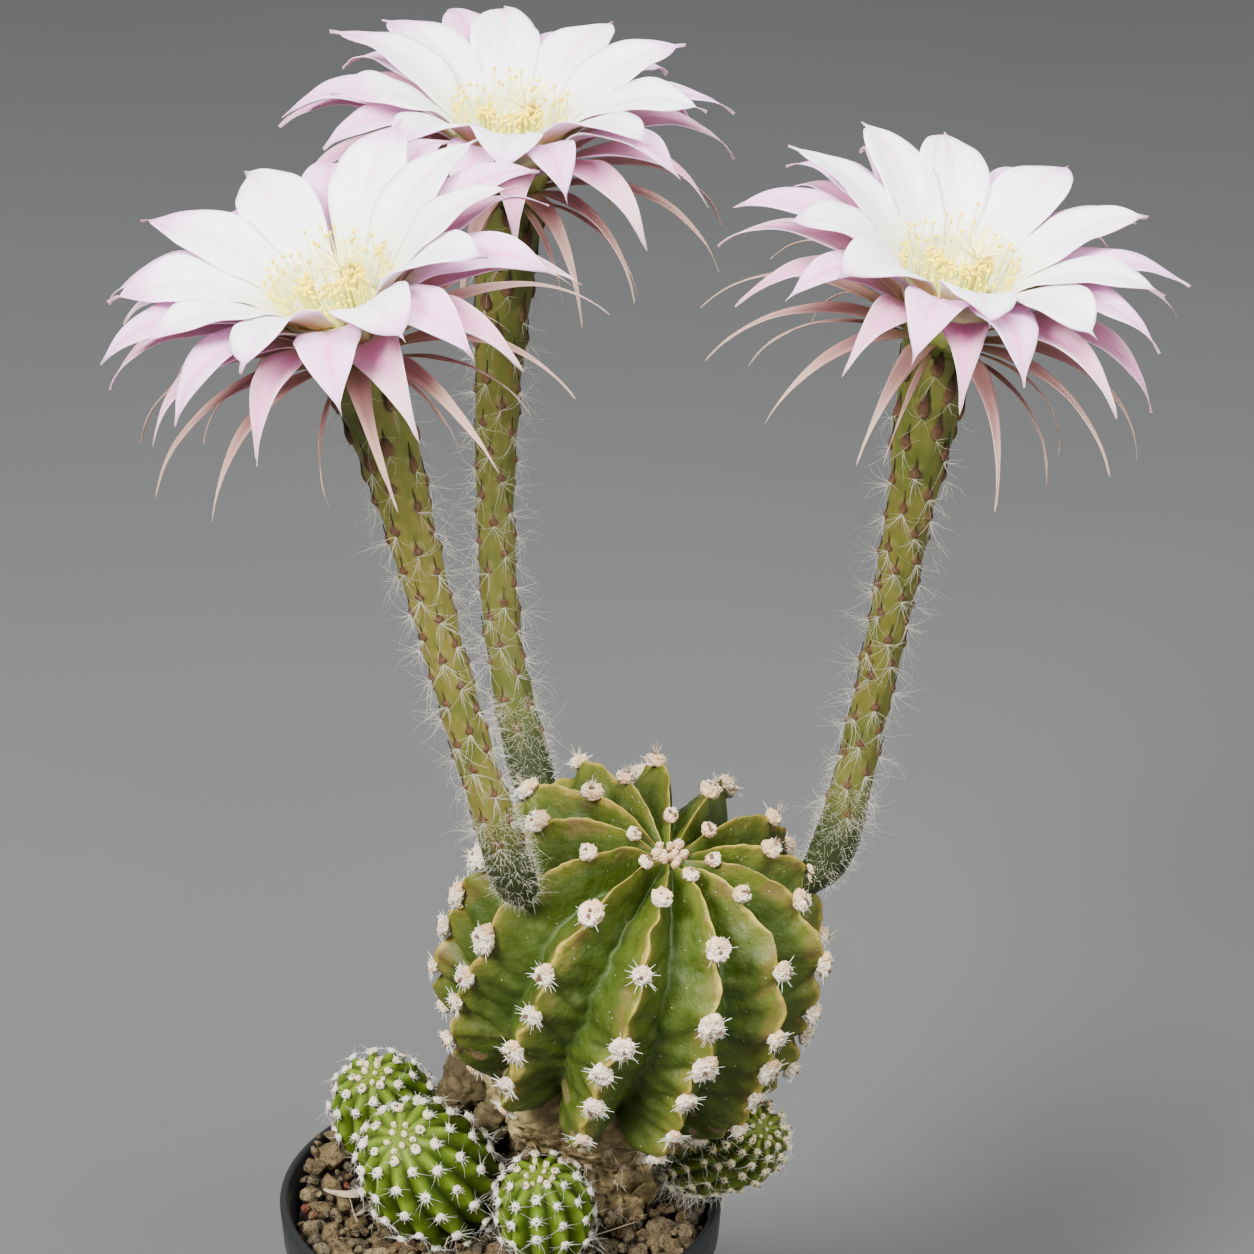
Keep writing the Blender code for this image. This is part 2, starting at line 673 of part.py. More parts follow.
def petal_point(whorl, stations, turn, across, share):
    """A point of a petal in the bloom's frame: across is -1 and 1 at its edges and 0 on its keel."""
    reach = share * (len(stations) - 1)
    index = min(int(reach), len(stations) - 2)
    part = reach - index
    ends = zip(stations[index], stations[index + 1])
    radius, height, pitch = (low + (high - low) * part for low, high in ends)
    half = petal_half_width(whorl, share)
    keel = PETAL_KEEL * (1.0 - abs(across)) * (1.0 - KEEL_THINNING * share)
    rise = whorl["dish"] * abs(across) * half - keel
    radius -= rise * math.sin(pitch)
    height += rise * math.cos(pitch)
    out = Vector((math.sin(turn), -math.cos(turn), 0.0))
    side = Vector((math.cos(turn), math.sin(turn), 0.0))
    return out * radius + side * across * half + Vector((0.0, 0.0, height))


def whorl_draws(name, flower):
    """Each petal of a whorl: where it stands, its length and its pitches, drawn once for each flower."""
    whorl = WHORLS[name]
    names = list(WHORLS)
    draw = random.Random(100 * SEED + 10 * names.index(name) + list(FLOWERS).index(flower))
    offset = FLOWERS[flower]["turn"] + 0.5 * (names.index(name) % 2)
    petals = []
    for number in range(whorl["count"]):
        turn = math.tau * (number + offset) / whorl["count"] + draw.uniform(-1, 1) * TURN_JITTER
        length = whorl["length"] * (1.0 + draw.uniform(-1, 1) * LENGTH_JITTER)
        shift = draw.uniform(-1, 1) * PITCH_JITTER
        bend = draw.uniform(-1, 1) * PITCH_JITTER
        front = max(math.cos(turn), 0.0)
        pitch = (whorl["pitch"][0] + 0.4 * shift - whorl["open"][0] * front,
                 whorl["pitch"][1] + shift + bend - whorl["open"][1] * front)
        petals.append((turn, length, pitch))
    return petals


def bloom_matrix(flower):
    """Carries the bloom's own frame to the top of its tube."""
    return upright(flower["facing"], flower["line"][-1])


def build_petals(whorl_name, flower_name, stations, matrix, material):
    """The petals of one whorl as thin closed blades: flat above, keeled below, with a pointed tip."""
    whorl = WHORLS[whorl_name]
    last = len(stations)
    made = []
    for turn, length, pitch in whorl_draws(whorl_name, flower_name):
        profile = petal_profile(length, whorl["root"], pitch)

        def place(u, v):
            corner = round(3 * u) % 3
            step = round(v * last)
            share = stations[step] if step < last else 1.0
            across = (-1.0, 0.0, 1.0)[corner] if step < last else 0.0
            return petal_point(whorl, profile, turn, across, share)

        bm = shaped_grid(3, last, place, closed=True)
        bm.transform(matrix)
        made.append(new_object("petal", bm, material))
    return made


def ring_object(name, profile, matrix, material, sides=RING_SIDES):
    bm = lathe(profile, sides)
    bm.transform(matrix)
    return new_object(name, bm, material)


def build_stamens(name, matrix, yellow):
    """A ring of filaments with their anthers, leaning out over the cup."""
    ring = ring_object(name + "_stamens", STAMEN_RING, matrix, yellow, STAMEN_RING_SIDES)
    draw = random.Random(SEED + 5)
    filaments = []
    for number in range(FILAMENTS):
        turn = math.tau * (number + draw.uniform(-0.2, 0.2)) / FILAMENTS
        out = Vector((math.sin(turn), -math.cos(turn), 0.0))
        way = Vector((0, 0, 1)) + out * draw.uniform(*FILAMENT_LEAN)
        length = draw.uniform(*FILAMENT_LENGTH)
        root = out * FILAMENT_CIRCLE + Vector((0, 0, FILAMENT_FOOT))
        bm = spike(root, way, length, FILAMENT_RADIUS, tip=ANTHER_RADIUS)
        bm.transform(matrix)
        filaments.append(new_object("filament", bm, yellow))
    return boolean(ring, filaments, "UNION")


def build_pistil(name, matrix, cream):
    """The style on the floor of the cup, with its spreading stigma lobes."""
    foot = CUP[-1][1] + GAP
    bm = spike((0, 0, foot), (0, 0, 1), PISTIL_LENGTH, PISTIL_RADIUS, STIGMA_LOBES, 1.3 * PISTIL_RADIUS)
    bm.transform(matrix)
    pistil = new_object(name + "_pistil", bm, cream)
    lobes = []
    for number in range(STIGMA_LOBES):
        turn = math.tau * (number + STIGMA_TURN) / STIGMA_LOBES
        out = Vector((math.sin(turn), -math.cos(turn), 0.0))
        root = 0.6 * PISTIL_RADIUS * out + Vector((0.0, 0.0, foot + PISTIL_LENGTH - 1.0))
        way = out + Vector((0.0, 0.0, STIGMA_RISE))
        bm = spike(root, way, STIGMA_LENGTH, STIGMA_RADII[0], tip=STIGMA_RADII[1])
        bm.transform(matrix)
        lobes.append(new_object("lobe", bm, cream))
    return boolean(pistil, lobes, "UNION")


def tube_line(flower):
    """The centre line of a floral tube, from just inside the areole that it grows from."""
    rib, angle = flower["areole"]
    base = globe_point(rib_turn(rib), math.radians(angle))
    inward = (GLOBE_CENTRE - base).normalized()
    return (base + TUBE_SINK * inward, *(Vector(point) for point in flower["line"]))


def build_flower(flower_name, finishes):
    """One flower: its tube, the rings of its sepals and petals face to face, its stamens and its pistil."""
    flower = FLOWERS[flower_name]
    name = "flower_" + flower_name
    matrix = bloom_matrix(flower)
    tube = build_tube(name, flower, finishes["tube_green"])
    brown, pink, white = (finishes[colour] for colour in ("sepal_brown", "petal_pink", "petal_white"))
    sepals = ring_object(name + "_sepals", SEPAL_RING, matrix, brown)
    boolean(sepals, build_petals("sepal", flower_name, SEPAL_STATIONS, matrix, brown), "UNION")
    outer = ring_object(name + "_outer_petals", OUTER_RING, matrix, pink)
    boolean(outer, build_petals("outer", flower_name, PETAL_STATIONS, matrix, pink), "UNION")
    inner = ring_object(name + "_inner_petals", CUP, matrix, white)
    blades = build_petals("inner", flower_name, PETAL_STATIONS, matrix, white)
    blades += build_petals("second", flower_name, PETAL_STATIONS, matrix, white)
    boolean(inner, blades, "UNION")
    stamens = build_stamens(name, matrix, finishes["anther_yellow"])
    pistil = build_pistil(name, matrix, finishes["stigma_cream"])
    return [tube, sepals, outer, inner, stamens, pistil]


def build_sockets(material):
    """The hollows that the flower tubes stand in on the globe: swollen copies of their bases."""
    sockets = []
    for flower in FLOWERS.values():
        line = tube_line(flower)

        def place(u, v):
            share = SOCKET_SHARE * v
            here, side, across, along = frame_at(line, share)
            radius = tube_radius(share) + 2 * GAP
            back = (1.0 - v) * 2 * GAP
            out = side * math.cos(math.tau * u) + across * math.sin(math.tau * u)
            return here - along * back + radius * out

        bm = shaped_grid(SOCKET_SIDES, SOCKET_ROWS, place, closed=True)
        sockets.append(new_object("socket", bm, material))
    return sockets


def main():
    clear_scene()
    finishes = {
        "pot_plastic": finish("pot_plastic", (0.035, 0.036, 0.04), 0.55),
        "soil_grit": finish("soil_grit", (0.24, 0.17, 0.11), 0.95),
        "cactus_green": finish("cactus_green", (0.16, 0.30, 0.06), 0.5),
        "pup_green": finish("pup_green", (0.18, 0.38, 0.05), 0.5),
        "tube_green": finish("tube_green", (0.30, 0.36, 0.10), 0.55),
        "sepal_brown": finish("sepal_brown", (0.55, 0.32, 0.28), 0.5),
        "petal_pink": finish("petal_pink", (0.88, 0.62, 0.76), 0.45),
        "petal_white": finish("petal_white", (0.93, 0.90, 0.92), 0.45),
        "anther_yellow": finish("anther_yellow", (0.92, 0.80, 0.38), 0.6),
        "stigma_cream": finish("stigma_cream", (0.93, 0.90, 0.60), 0.6),
    }
    build_pot(finishes["pot_plastic"])
    build_soil(finishes["soil_grit"])
    globe = build_globe(finishes["cactus_green"])
    boolean(globe, build_sockets(finishes["cactus_green"]), "DIFFERENCE")
    for name, pup in PUPS.items():
        build_pup(name, pup, finishes["pup_green"])
    for flower_name in FLOWERS:
        build_flower(flower_name, finishes)


main()
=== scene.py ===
import json
import math
import random

import bmesh
import bpy
from mathutils import Matrix, Vector, noise

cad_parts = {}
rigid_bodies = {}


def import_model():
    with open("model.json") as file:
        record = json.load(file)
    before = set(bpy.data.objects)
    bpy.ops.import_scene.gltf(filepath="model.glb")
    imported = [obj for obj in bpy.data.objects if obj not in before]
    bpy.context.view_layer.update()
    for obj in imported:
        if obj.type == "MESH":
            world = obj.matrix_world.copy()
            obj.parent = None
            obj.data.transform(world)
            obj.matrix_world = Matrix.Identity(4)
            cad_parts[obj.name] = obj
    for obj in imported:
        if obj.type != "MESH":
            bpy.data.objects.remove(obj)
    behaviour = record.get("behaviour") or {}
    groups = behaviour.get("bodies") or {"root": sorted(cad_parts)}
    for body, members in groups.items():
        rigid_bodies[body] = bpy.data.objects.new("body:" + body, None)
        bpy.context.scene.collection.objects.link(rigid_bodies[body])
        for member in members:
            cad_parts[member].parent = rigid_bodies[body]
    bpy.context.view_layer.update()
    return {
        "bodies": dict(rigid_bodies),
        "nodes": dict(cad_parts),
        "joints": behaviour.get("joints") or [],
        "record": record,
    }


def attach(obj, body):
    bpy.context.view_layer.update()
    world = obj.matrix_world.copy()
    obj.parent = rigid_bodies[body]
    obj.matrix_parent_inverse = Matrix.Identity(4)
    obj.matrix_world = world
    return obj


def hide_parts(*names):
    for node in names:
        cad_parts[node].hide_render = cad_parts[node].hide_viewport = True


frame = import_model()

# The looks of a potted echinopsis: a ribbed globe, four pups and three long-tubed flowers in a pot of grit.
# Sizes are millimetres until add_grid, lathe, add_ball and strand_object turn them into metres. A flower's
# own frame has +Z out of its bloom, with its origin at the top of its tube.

MM = 0.001
SEED = 11
MERGE_DISTANCE = 0.002
PILE_SHAPES = 50
GOLDEN_TURN = math.radians(137.5)

# Camera: where it stands and looks, in metres, and its lens on a 36 mm sensor
CAMERA_PLACE = (0.03421, -1.11718, 0.78210)
CAMERA_TARGET = (0.03421, 0.06388, 0.23888)
CAMERA_LENS = 137.45

# Pot and soil
POT_RADIUS = 60.0
POT_FOOT_RADIUS = 45.0
POT_HEIGHT = 100.0
POT_WALL = 2.2
RIM_BAND = 12.0
BAND_RADIUS = POT_RADIUS - (POT_RADIUS - POT_FOOT_RADIUS) * RIM_BAND / POT_HEIGHT
POT_INSIDE = BAND_RADIUS - 0.6 - POT_WALL
LATHE_SIDES = 128
DRAIN_HOLES = 5
DRAIN_RADIUS = 4.0
DRAIN_CIRCLE = 28.0
SOIL_TOP = 92.0
STONE_REACH = 56.0
STONE_FACETS = 12

# Stones from large to small: the least and most radius, how far their centres may lie below and above the
# ground, and the tries. They may overlap to this share of the gap between their centres.
STONE_LAYERS = ((4.0, 5.7, -2.6, -0.6, 5000), (2.6, 3.8, -2.6, 1.4, 9000), (1.1, 2.2, -3.2, 1.6, 16000))
STONE_CLOSENESS = 0.76

# The ground rises at the rim and in two heaps: where each one is, how high and how wide
RIM_BANK = 4.2
HEAPS = (((-46.0, 21.0), 9.5, 13.0), ((-10.0, 42.0), 6.0, 20.0))

# Globe: a rounded barrel, taller above its widest ring than below it
GLOBE_CENTRE = Vector((32.7, -4.6, 165.9))
GLOBE_AXIS = Vector((0.27, -0.227, 0.936)).normalized()
GLOBE_RADIUS = 49.5
GLOBE_TOP = 53.8
GLOBE_BOTTOM = 28.3
TOP_SQUARENESS = 3.5
BOTTOM_SQUARENESS = 2.9
GLOBE_DIMPLE = 7.0
DIMPLE_WIDTH = 11.0
GLOBE_RIBS = 13
FIRST_RIB_TURN = -0.085
COLUMNS_PER_RIB = 24
GLOBE_ROWS = 170
CREST_ROUND = 0.055
FOOT_CREST_ROUND = 0.5
FLANK_HOLLOW = 0.72
FOOT_FLANK_SWELL = 2.2
CREST_CROWDING = 1.35

# Grooves between ribs: their depth as a share of the radius, the angle below the tip that they reach it over,
# how much deeper they get low down and over which angles, and the angle that they fade out over at the foot
GLOBE_GROOVE = 0.215
GROOVE_START = 0.42
LOW_GROOVE = 0.42
LOW_GROOVE_START = 1.3
LOW_GROOVE_SPAN = 0.8
GROOVE_FADE = 0.4

# Areoles: angles in degrees down from the tip, for the ribs that start low and for the others
AREOLES_LOW = (25.0, 45.0, 64.0, 76.0, 89.0, 104.0, 123.0)
AREOLES_HIGH = (13.0, 36.0, 55.0, 70.0, 83.0, 97.0, 113.0)
LOW_START_RIBS = (0, 2, 4, 6, 8, 9, 11)
AREOLE_JITTER = 1.8
APEX_PADS = 11
APEX_REACH = 4.6
CREST_SETBACK = 2.5
CREST_SWELL = 0.9
FOLD_SLANT = 0.13
PAD_RADII = (2.7, 2.6, 1.7)
PAD_SIZES = ((0.0, 0.55), (0.2, 0.72), (0.6, 1.05), (1.2, 1.1), (1.7, 0.85), (2.4, 0.78))

TRUNK_LINE = ((27.0, 1.0, 152.0), (26.0, 2.5, 134.0), (26.5, 4.5, 116.0), (28.0, 6.5, 98.0),
              (28.0, 7.0, 80.0))
TRUNK_RADII = ((0.0, 30.0), (0.25, 28.0), (0.5, 16.0), (0.75, 12.5), (1.0, 10.5))

TRUNK_ROWS = 110
TRUNK_SIDES = 140

# Lumps of old cork on the trunk's left: the middle and the radius
CORK_LUMPS = (((-7.0, 13.0, 128.0), 8.5), ((-11.0, 15.0, 119.0), 7.0), ((0.0, 11.0, 120.0), 9.0),
              ((8.0, 10.0, 112.0), 9.0), ((-4.0, 15.0, 109.0), 8.0), ((6.0, 14.0, 101.0), 9.0),
              ((-6.0, 18.0, 100.0), 7.0), ((13.0, 2.0, 124.0), 8.0))

# Pups: the line from the base to the tip, the radius and the number of ribs
PUPS = {
    "front_left": {
        "line": ((-10.5, 2.0, 92.0), (-16.0, -5.0, 104.0), (-21.5, -11.5, 116.0), (-26.0, -19.0, 128.0)),
        "radius": 17.2,
        "ribs": 13,
        "spacing": 8.8,
        "pad": 1.42,
    },
    "back_left": {
        "line": ((-26.5, 28.0, 91.5), (-29.5, 25.5, 102.5), (-33.0, 22.0, 114.5), (-35.5, 17.0, 126.0)),
        "radius": 14.4,
        "ribs": 12,
        "spacing": 7.6,
        "pad": 1.25,
    },
    "front": {
        "line": ((12.8, -18.3, 92.0), (12.4, -19.8, 101.5), (11.8, -21.3, 111.0), (11.0, -24.3, 120.0)),
        "radius": 12.3,
        "ribs": 11,
        "spacing": 6.6,
        "pad": 1.2,
    },
    "right": {
        "line": ((45.5, 5.5, 103.5), (52.2, 2.3, 109.3), (59.8, -2.8, 115.3), (65.8, -7.5, 120.0),
                 (70.2, -16.0, 128.8)),
        "radius": 11.7,
        "ribs": 13,
        "spacing": 5.2,
        "pad": 1.05,
    },
}
PUP_GROOVE = 0.19
PUP_FULLNESS = 0.72
PUP_CREST_ROUND = 0.13
PUP_COLUMNS_PER_RIB = 14
PUP_ROWS = 90
PUP_FIRST_AREOLE = 0.935
PUP_LAST_AREOLE = 0.12
PUP_SWELL = 0.9
PUP_SWELL_REACH = 2.1
PUP_TIP_PADS = 8
PUP_TIP_REACH = 3.3

# Flowers: the rib and the angle of the areole that each one grows from, the line of the tube after that,
# the way the bloom faces, and how far its whorls are turned, as a share of the step between petals
FLOWERS = {
    "left": {
        "areole": (11, 46.5),
        "line": ((4.6, -39.0, 219.5), (-5.0, -42.5, 256.5), (-14.3, -44.5, 295.8),
                 (-21.8, -46.8, 330.0), (-30.1, -52.3, 362.9)),
        "facing": (-0.25, -0.16, 0.95),
        "turn": 0.5,
    },
    "back": {
        "areole": (8, 68.0),
        "line": ((8.0, 36.5, 211.0), (1.6, 45.0, 240.8), (-0.9, 54.0, 280.6),
                 (0.7, 59.5, 321.0), (3.5, 61.8, 364.0)),
        "facing": (0.03, -0.06, 0.99),
        "turn": 0.0,
    },
    "right": {
        "areole": (4, 46.0),
        "line": ((88.6, -1.0, 206.0), (95.3, 1.5, 235.0), (102.3, 0.0, 275.9),
                 (107.0, -3.0, 310.5), (111.7, -7.0, 349.9)),
        "facing": (0.19, -0.13, 0.97),
        "turn": 0.0,
    },
}
TUBE_SINK = 1.2
TUBE_RADII = ((0.0, 2.6), (0.025, 4.8), (0.09, 6.2), (0.17, 5.5), (0.28, 4.8), (0.5, 4.9), (0.72, 6.0),
              (0.9, 8.1), (1.0, 9.4))
TUBE_TURNS_FROM = 0.8
TUBE_SIDES = 64
TUBE_ROWS = 230
SCALES = 92
SCALE_SHARES = (0.15, 0.985)
RIDGE_LENGTH = 0.085
RIDGE_HEIGHT = 0.62
BULB_TOP = 0.2
BULB_HAIRS = 1150

# The bulb's hairs: how far they spread, the least and most length, how wavy they are and their steps
LONG_FUR = (1.2, 3.4, 6.4, 0.32, 4)
SHORT_FUR = (0.8, 1.6, 3.4, 0.25, 3)

# Whorls from the outside in: the end of the piece's name, its slot and the end of its CAD node's name
WHORL_PIECES = {
    "sepal": ("_sepals", "sepal", "_sepals"),
    "outer": ("_outer_petals", "petal_pink", "_outer_petals"),
    "second": ("_second_petals", "petal_white", "_inner_petals"),
    "inner": ("_inner_petals", "petal_white", "_inner_petals"),
}

# Whorls: length, half width and where along it that is, radius and height of the roots, pitch in degrees
# at the root and at the tip, the root's width as a share, how far the edges turn up, the length of the cusp
# at the tip as a share, two powers that shape the blade's end, how far the end droops and how far the side
# that faces -Y opens out, both in degrees
WHORLS = {
    "inner": {"count": 10, "length": 47.0, "half_width": 9.3, "widest": 0.54, "root": (10.2, 13.6),
              "pitch": (54.0, -4.0), "claw": 0.46, "dish": 0.17, "cusp": 0.065, "end": (1.85, 0.74),
              "droop": 4.0, "open": (2.0, 16.0)},
    "second": {"count": 10, "length": 53.0, "half_width": 7.9, "widest": 0.52, "root": (10.8, 11.4),
               "pitch": (50.0, -26.0), "claw": 0.44, "dish": 0.16, "cusp": 0.05, "end": (1.6, 0.98),
               "droop": 14.0, "open": (2.0, 8.0)},
    "outer": {"count": 11, "length": 58.0, "half_width": 6.3, "widest": 0.44, "root": (8.8, 6.6),
              "pitch": (42.0, -40.0), "claw": 0.42, "dish": 0.17, "cusp": 0.03, "end": (1.4, 1.30),
              "droop": 18.0, "open": (0.0, 0.0)},
    "sepal": {"count": 12, "length": 57.0, "half_width": 2.9, "widest": 0.30, "root": (8.0, 2.4),
              "pitch": (24.0, -62.0), "claw": 0.66, "dish": 0.16, "cusp": 0.02, "end": (1.1, 1.25),
              "droop": 4.0, "open": (0.0, 0.0)},
}
CUSP_WIDTH = 0.085
PETAL_BEND = 1.25
PETAL_STEPS = 28
PITCH_JITTER = 7.0
TURN_JITTER = 0.10
LENGTH_JITTER = 0.05
PETAL_COLUMNS = 14
PETAL_ROWS = 38
PETAL_WALL = 0.26
THREADS = 7
OUTER_STAMENS = 70
INNER_STAMENS = 135
ANTHER_STATIONS = ((-0.74, 0.14), (-0.46, 0.40), (0.0, 0.48), (0.46, 0.40), (0.74, 0.14))
STYLE_TOP = Vector((3.6, -1.0, 24.5))
STIGMA_LOBES = 12
THROAT = ((0.0, 0.3), (9.4, 0.3), (9.9, 4.4), (10.6, 8.6), (12.4, 12.6), (14.2, 16.4), (13.9, 17.0),
          (12.3, 16.0), (9.8, 11.8), (7.8, 7.0), (5.4, 3.0), (0.0, 2.0))
THROAT_TOP = 16.4

# Studio: each light's place, size in metres, power in watts and colour. All face the middle of the plant.
LIGHTS = {
    "key": ((-1.1, -1.3, 1.7), 0.8, 138.0, (1.0, 0.985, 0.96)),
    "fill": ((1.5, -1.2, 0.9), 1.2, 26.0, (0.97, 0.985, 1.0)),
    "top": ((0.15, -0.25, 1.1), 0.6, 21.0, (1.0, 1.0, 1.0)),
}
LIGHT_TARGET = Vector((0.03, 0.0, 0.22))
WORLD_COLOUR = (0.86, 0.88, 0.90, 1.0)
WORLD_STRENGTH = 0.52
FLOOR_SIZE = 4.0


class Pile:
    """Shapes that become one mesh, kept in meshes of a few dozen shapes because large ones are slow.

    Marks are named numbers on each corner, which the materials read.
    """

    def __init__(self, *marks):
        self.marks = marks
        self.meshes = []
        self.shapes = 0
        self.start()

    def start(self):
        self.bm = bmesh.new()
        self.layers = [self.bm.verts.layers.float.new(mark) for mark in self.marks]

    def room(self):
        """The bmesh to add the next shape to."""
        if self.shapes and self.shapes % PILE_SHAPES == 0:
            self.store()
            self.start()
        self.shapes += 1
        return self.bm

    def store(self):
        bmesh.ops.remove_doubles(self.bm, verts=self.bm.verts, dist=MM * MERGE_DISTANCE)
        mesh = bpy.data.meshes.new("pile")
        self.bm.to_mesh(mesh)
        self.bm.free()
        self.meshes.append(mesh)

    def mark(self, vert, values):
        for layer, value in zip(self.layers, values):
            vert[layer] = value

    def joined(self, name):
        """One object that holds every shape."""
        self.store()
        parts = [linked(name, mesh) for mesh in self.meshes]
        with bpy.context.temp_override(active_object=parts[0], selected_editable_objects=parts):
            bpy.ops.object.join()
        parts[0].name = name
        parts[0].data.name = name
        return parts[0]


def dress(obj, materials, nodes=(), sharp_angle=None):
    """Gives a piece its materials, its body and the CAD nodes that it stands for."""
    mesh = obj.data
    for material in materials:
        mesh.materials.append(material)
    mesh.shade_smooth()
    if sharp_angle:
        mesh.set_sharp_from_angle(angle=math.radians(sharp_angle))
    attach(obj, "root")
    if nodes:
        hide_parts(*nodes)
    return obj


def solidify(obj, thickness, under_material=False):
    """A wall under an open sheet, its lower face in the object's second material if it has one."""
    modifier = obj.modifiers.new("wall", "SOLIDIFY")
    modifier.thickness = MM * thickness
    modifier.offset = -1.0
    if under_material:
        modifier.material_offset = 1
    return obj


def add_grid(pile, across, along, place, closed=False):
    """Adds a grid of quads. place(u, v) gives each corner's point, then its marks.

    A closed one is wrapped round: its seam meets, and its two ends are filled or are tips.
    """
    bm = pile.room()
    made = bmesh.ops.create_grid(bm, x_segments=across, y_segments=along, size=0.5)
    verts = made["verts"]
    for vert in verts:
        column = round((vert.co.x + 0.5) * across)
        u = (column % across if closed else column) / across
        point, *marks = place(u, vert.co.y + 0.5)
        vert.co = MM * Vector(point)
        pile.mark(vert, marks)
    if closed:
        bmesh.ops.remove_doubles(bm, verts=verts, dist=MM * MERGE_DISTANCE)
        live = [vert for vert in verts if vert.is_valid]
        rims = list({edge for vert in live for edge in vert.link_edges if edge.is_boundary})
        bmesh.ops.holes_fill(bm, edges=rims, sides=0)
        faces = list({face for vert in live for face in vert.link_faces})
        bmesh.ops.recalc_face_normals(bm, faces=faces)


def add_ball(pile, subdivisions, matrix, shape, marks=None):
    """Adds an icosphere whose unit points pass through shape(point), then the matrix, all in millimetres."""
    made = bmesh.ops.create_icosphere(pile.room(), subdivisions=subdivisions, radius=1.0)
    for vert in made["verts"]:
        unit = vert.co.copy()
        vert.co = MM * (matrix @ shape(unit))
        if marks:
            pile.mark(vert, marks(unit))


def lathe(profile, sides=LATHE_SIDES):
    """Spins a profile of (radius, height) points round Z. It ends on the axis, or it closes on itself."""
    bm = bmesh.new()
    verts = [bm.verts.new((MM * radius, 0.0, MM * height)) for radius, height in profile]
    edges = [bm.edges.new(pair) for pair in zip(verts, verts[1:])]
    if profile[0][0] > 0.0:
        edges.append(bm.edges.new((verts[-1], verts[0])))
    bmesh.ops.spin(bm, geom=verts + edges, axis=(0, 0, 1), cent=(0, 0, 0), angle=math.tau, steps=sides,
                   use_merge=True)
    bmesh.ops.remove_doubles(bm, verts=bm.verts, dist=MM * MERGE_DISTANCE)
    bmesh.ops.recalc_face_normals(bm, faces=bm.faces)
    return bm


def linked(name, data):
    obj = bpy.data.objects.new(name, data)
    bpy.context.scene.collection.objects.link(obj)
    return obj


def new_object(name, bm):
    mesh = bpy.data.meshes.new(name)
    bm.to_mesh(mesh)
    bm.free()
    return linked(name, mesh)


def strand_object(name, lines, rounding=0):
    """Round strands along lines of (point, radius) in millimetres, swept as one curve and made a mesh."""
    curve = bpy.data.curves.new(name, "CURVE")
    curve.dimensions = "3D"
    curve.fill_mode = "FULL"
    curve.bevel_depth = MM
    curve.bevel_resolution = rounding
    curve.use_fill_caps = True
    for line in lines:
        spline = curve.splines.new("POLY")
        spline.points.add(len(line) - 1)
        for corner, (point, radius) in zip(spline.points, line):
            corner.co = (*(MM * point), 1.0)
            corner.radius = radius
    swept = bpy.data.objects.new(name, curve)
    mesh = bpy.data.meshes.new_from_object(swept)
    bpy.data.objects.remove(swept)
    bpy.data.curves.remove(curve)
    return linked(name, mesh)


def eased(value):
    """Smooth step from 0 to 1."""
    value = min(max(value, 0.0), 1.0)
    return value * value * (3.0 - 2.0 * value)


def between(table, value):
    """The straight-line reading of a table of (position, amount) pairs."""
    for (low, start), (high, end) in zip(table, table[1:]):
        if value <= high:
            return start + (end - start) * (value - low) / (high - low)
    return table[-1][1]


def softly(table, value, reach=0.03):
    """The reading of a table with its corners rounded off."""
    low, high = table[0][0], table[-1][0]
    steps = (-reach, -0.5 * reach, 0.0, 0.5 * reach, reach)
    return sum(between(table, min(max(value + step, low), high)) for step in steps) / len(steps)


def smooth_line(points, share):
    """The point a share of the length along a smooth curve through the points."""
    points = [Vector(point) for point in points]
    lengths = [(end - start).length for start, end in zip(points, points[1:])]
    left = share * sum(lengths)
    index = 0
    while index < len(lengths) - 1 and left > lengths[index]:
        left -= lengths[index]
        index += 1
    t = left / lengths[index]
    start, end = points[index], points[index + 1]
    before = points[index - 1] if index else 2 * start - end
    after = points[index + 2] if index + 2 < len(points) else 2 * end - start
    return 0.5 * (2 * start + (end - before) * t + (2 * before - 5 * start + 4 * end - after) * t * t
                  + (3 * start - before - 3 * end + after) * t * t * t)


def basis(along):
    """Two directions square to along: the first as near +X as it can be, the second as near +Y."""
    side = Vector((0.0, 1.0, 0.0)).cross(along).normalized()
    return side, along.cross(side)


def frame_at(points, share):
    """The curve's point, and two directions square to it that don't twist along its length."""
    here = smooth_line(points, share)
    ahead = smooth_line(points, min(share + 0.01, 1.0))
    behind = smooth_line(points, max(share - 0.01, 0.0))
    along = (ahead - behind).normalized()
    return here, *basis(along), along


def line_frames(points, rows):
    """The frames of a line at even shares, worked out once for all the corners of a grid's rows."""
    return [frame_at(points, row / rows) for row in range(rows + 1)]


def upright(direction, at):
    """The matrix that carries +Z to direction and the origin to the point at."""
    along = Vector(direction).normalized()
    return Matrix.Translation(Vector(at)) @ Matrix((*basis(along), along)).transposed().to_4x4()


def rough(point, scale, seed=0.0):
    """Smooth noise from -1 to 1 at a point in millimetres, with features of the size of scale."""
    return noise.noise(Vector(point) / scale + Vector((seed, 0.7 * seed, 0.3 * seed)))


def any_way(draw):
    """A random direction."""
    return Vector([draw.gauss(0.0, 1.0) for _ in range(3)]).normalized()


def any_turn(draw):
    """A random angle."""
    return draw.uniform(0.0, math.tau)


def around(side, across, turn):
    """The direction at a turn from side towards across."""
    return side * math.cos(turn) + across * math.sin(turn)


def up(height):
    return Vector((0.0, 0.0, height))


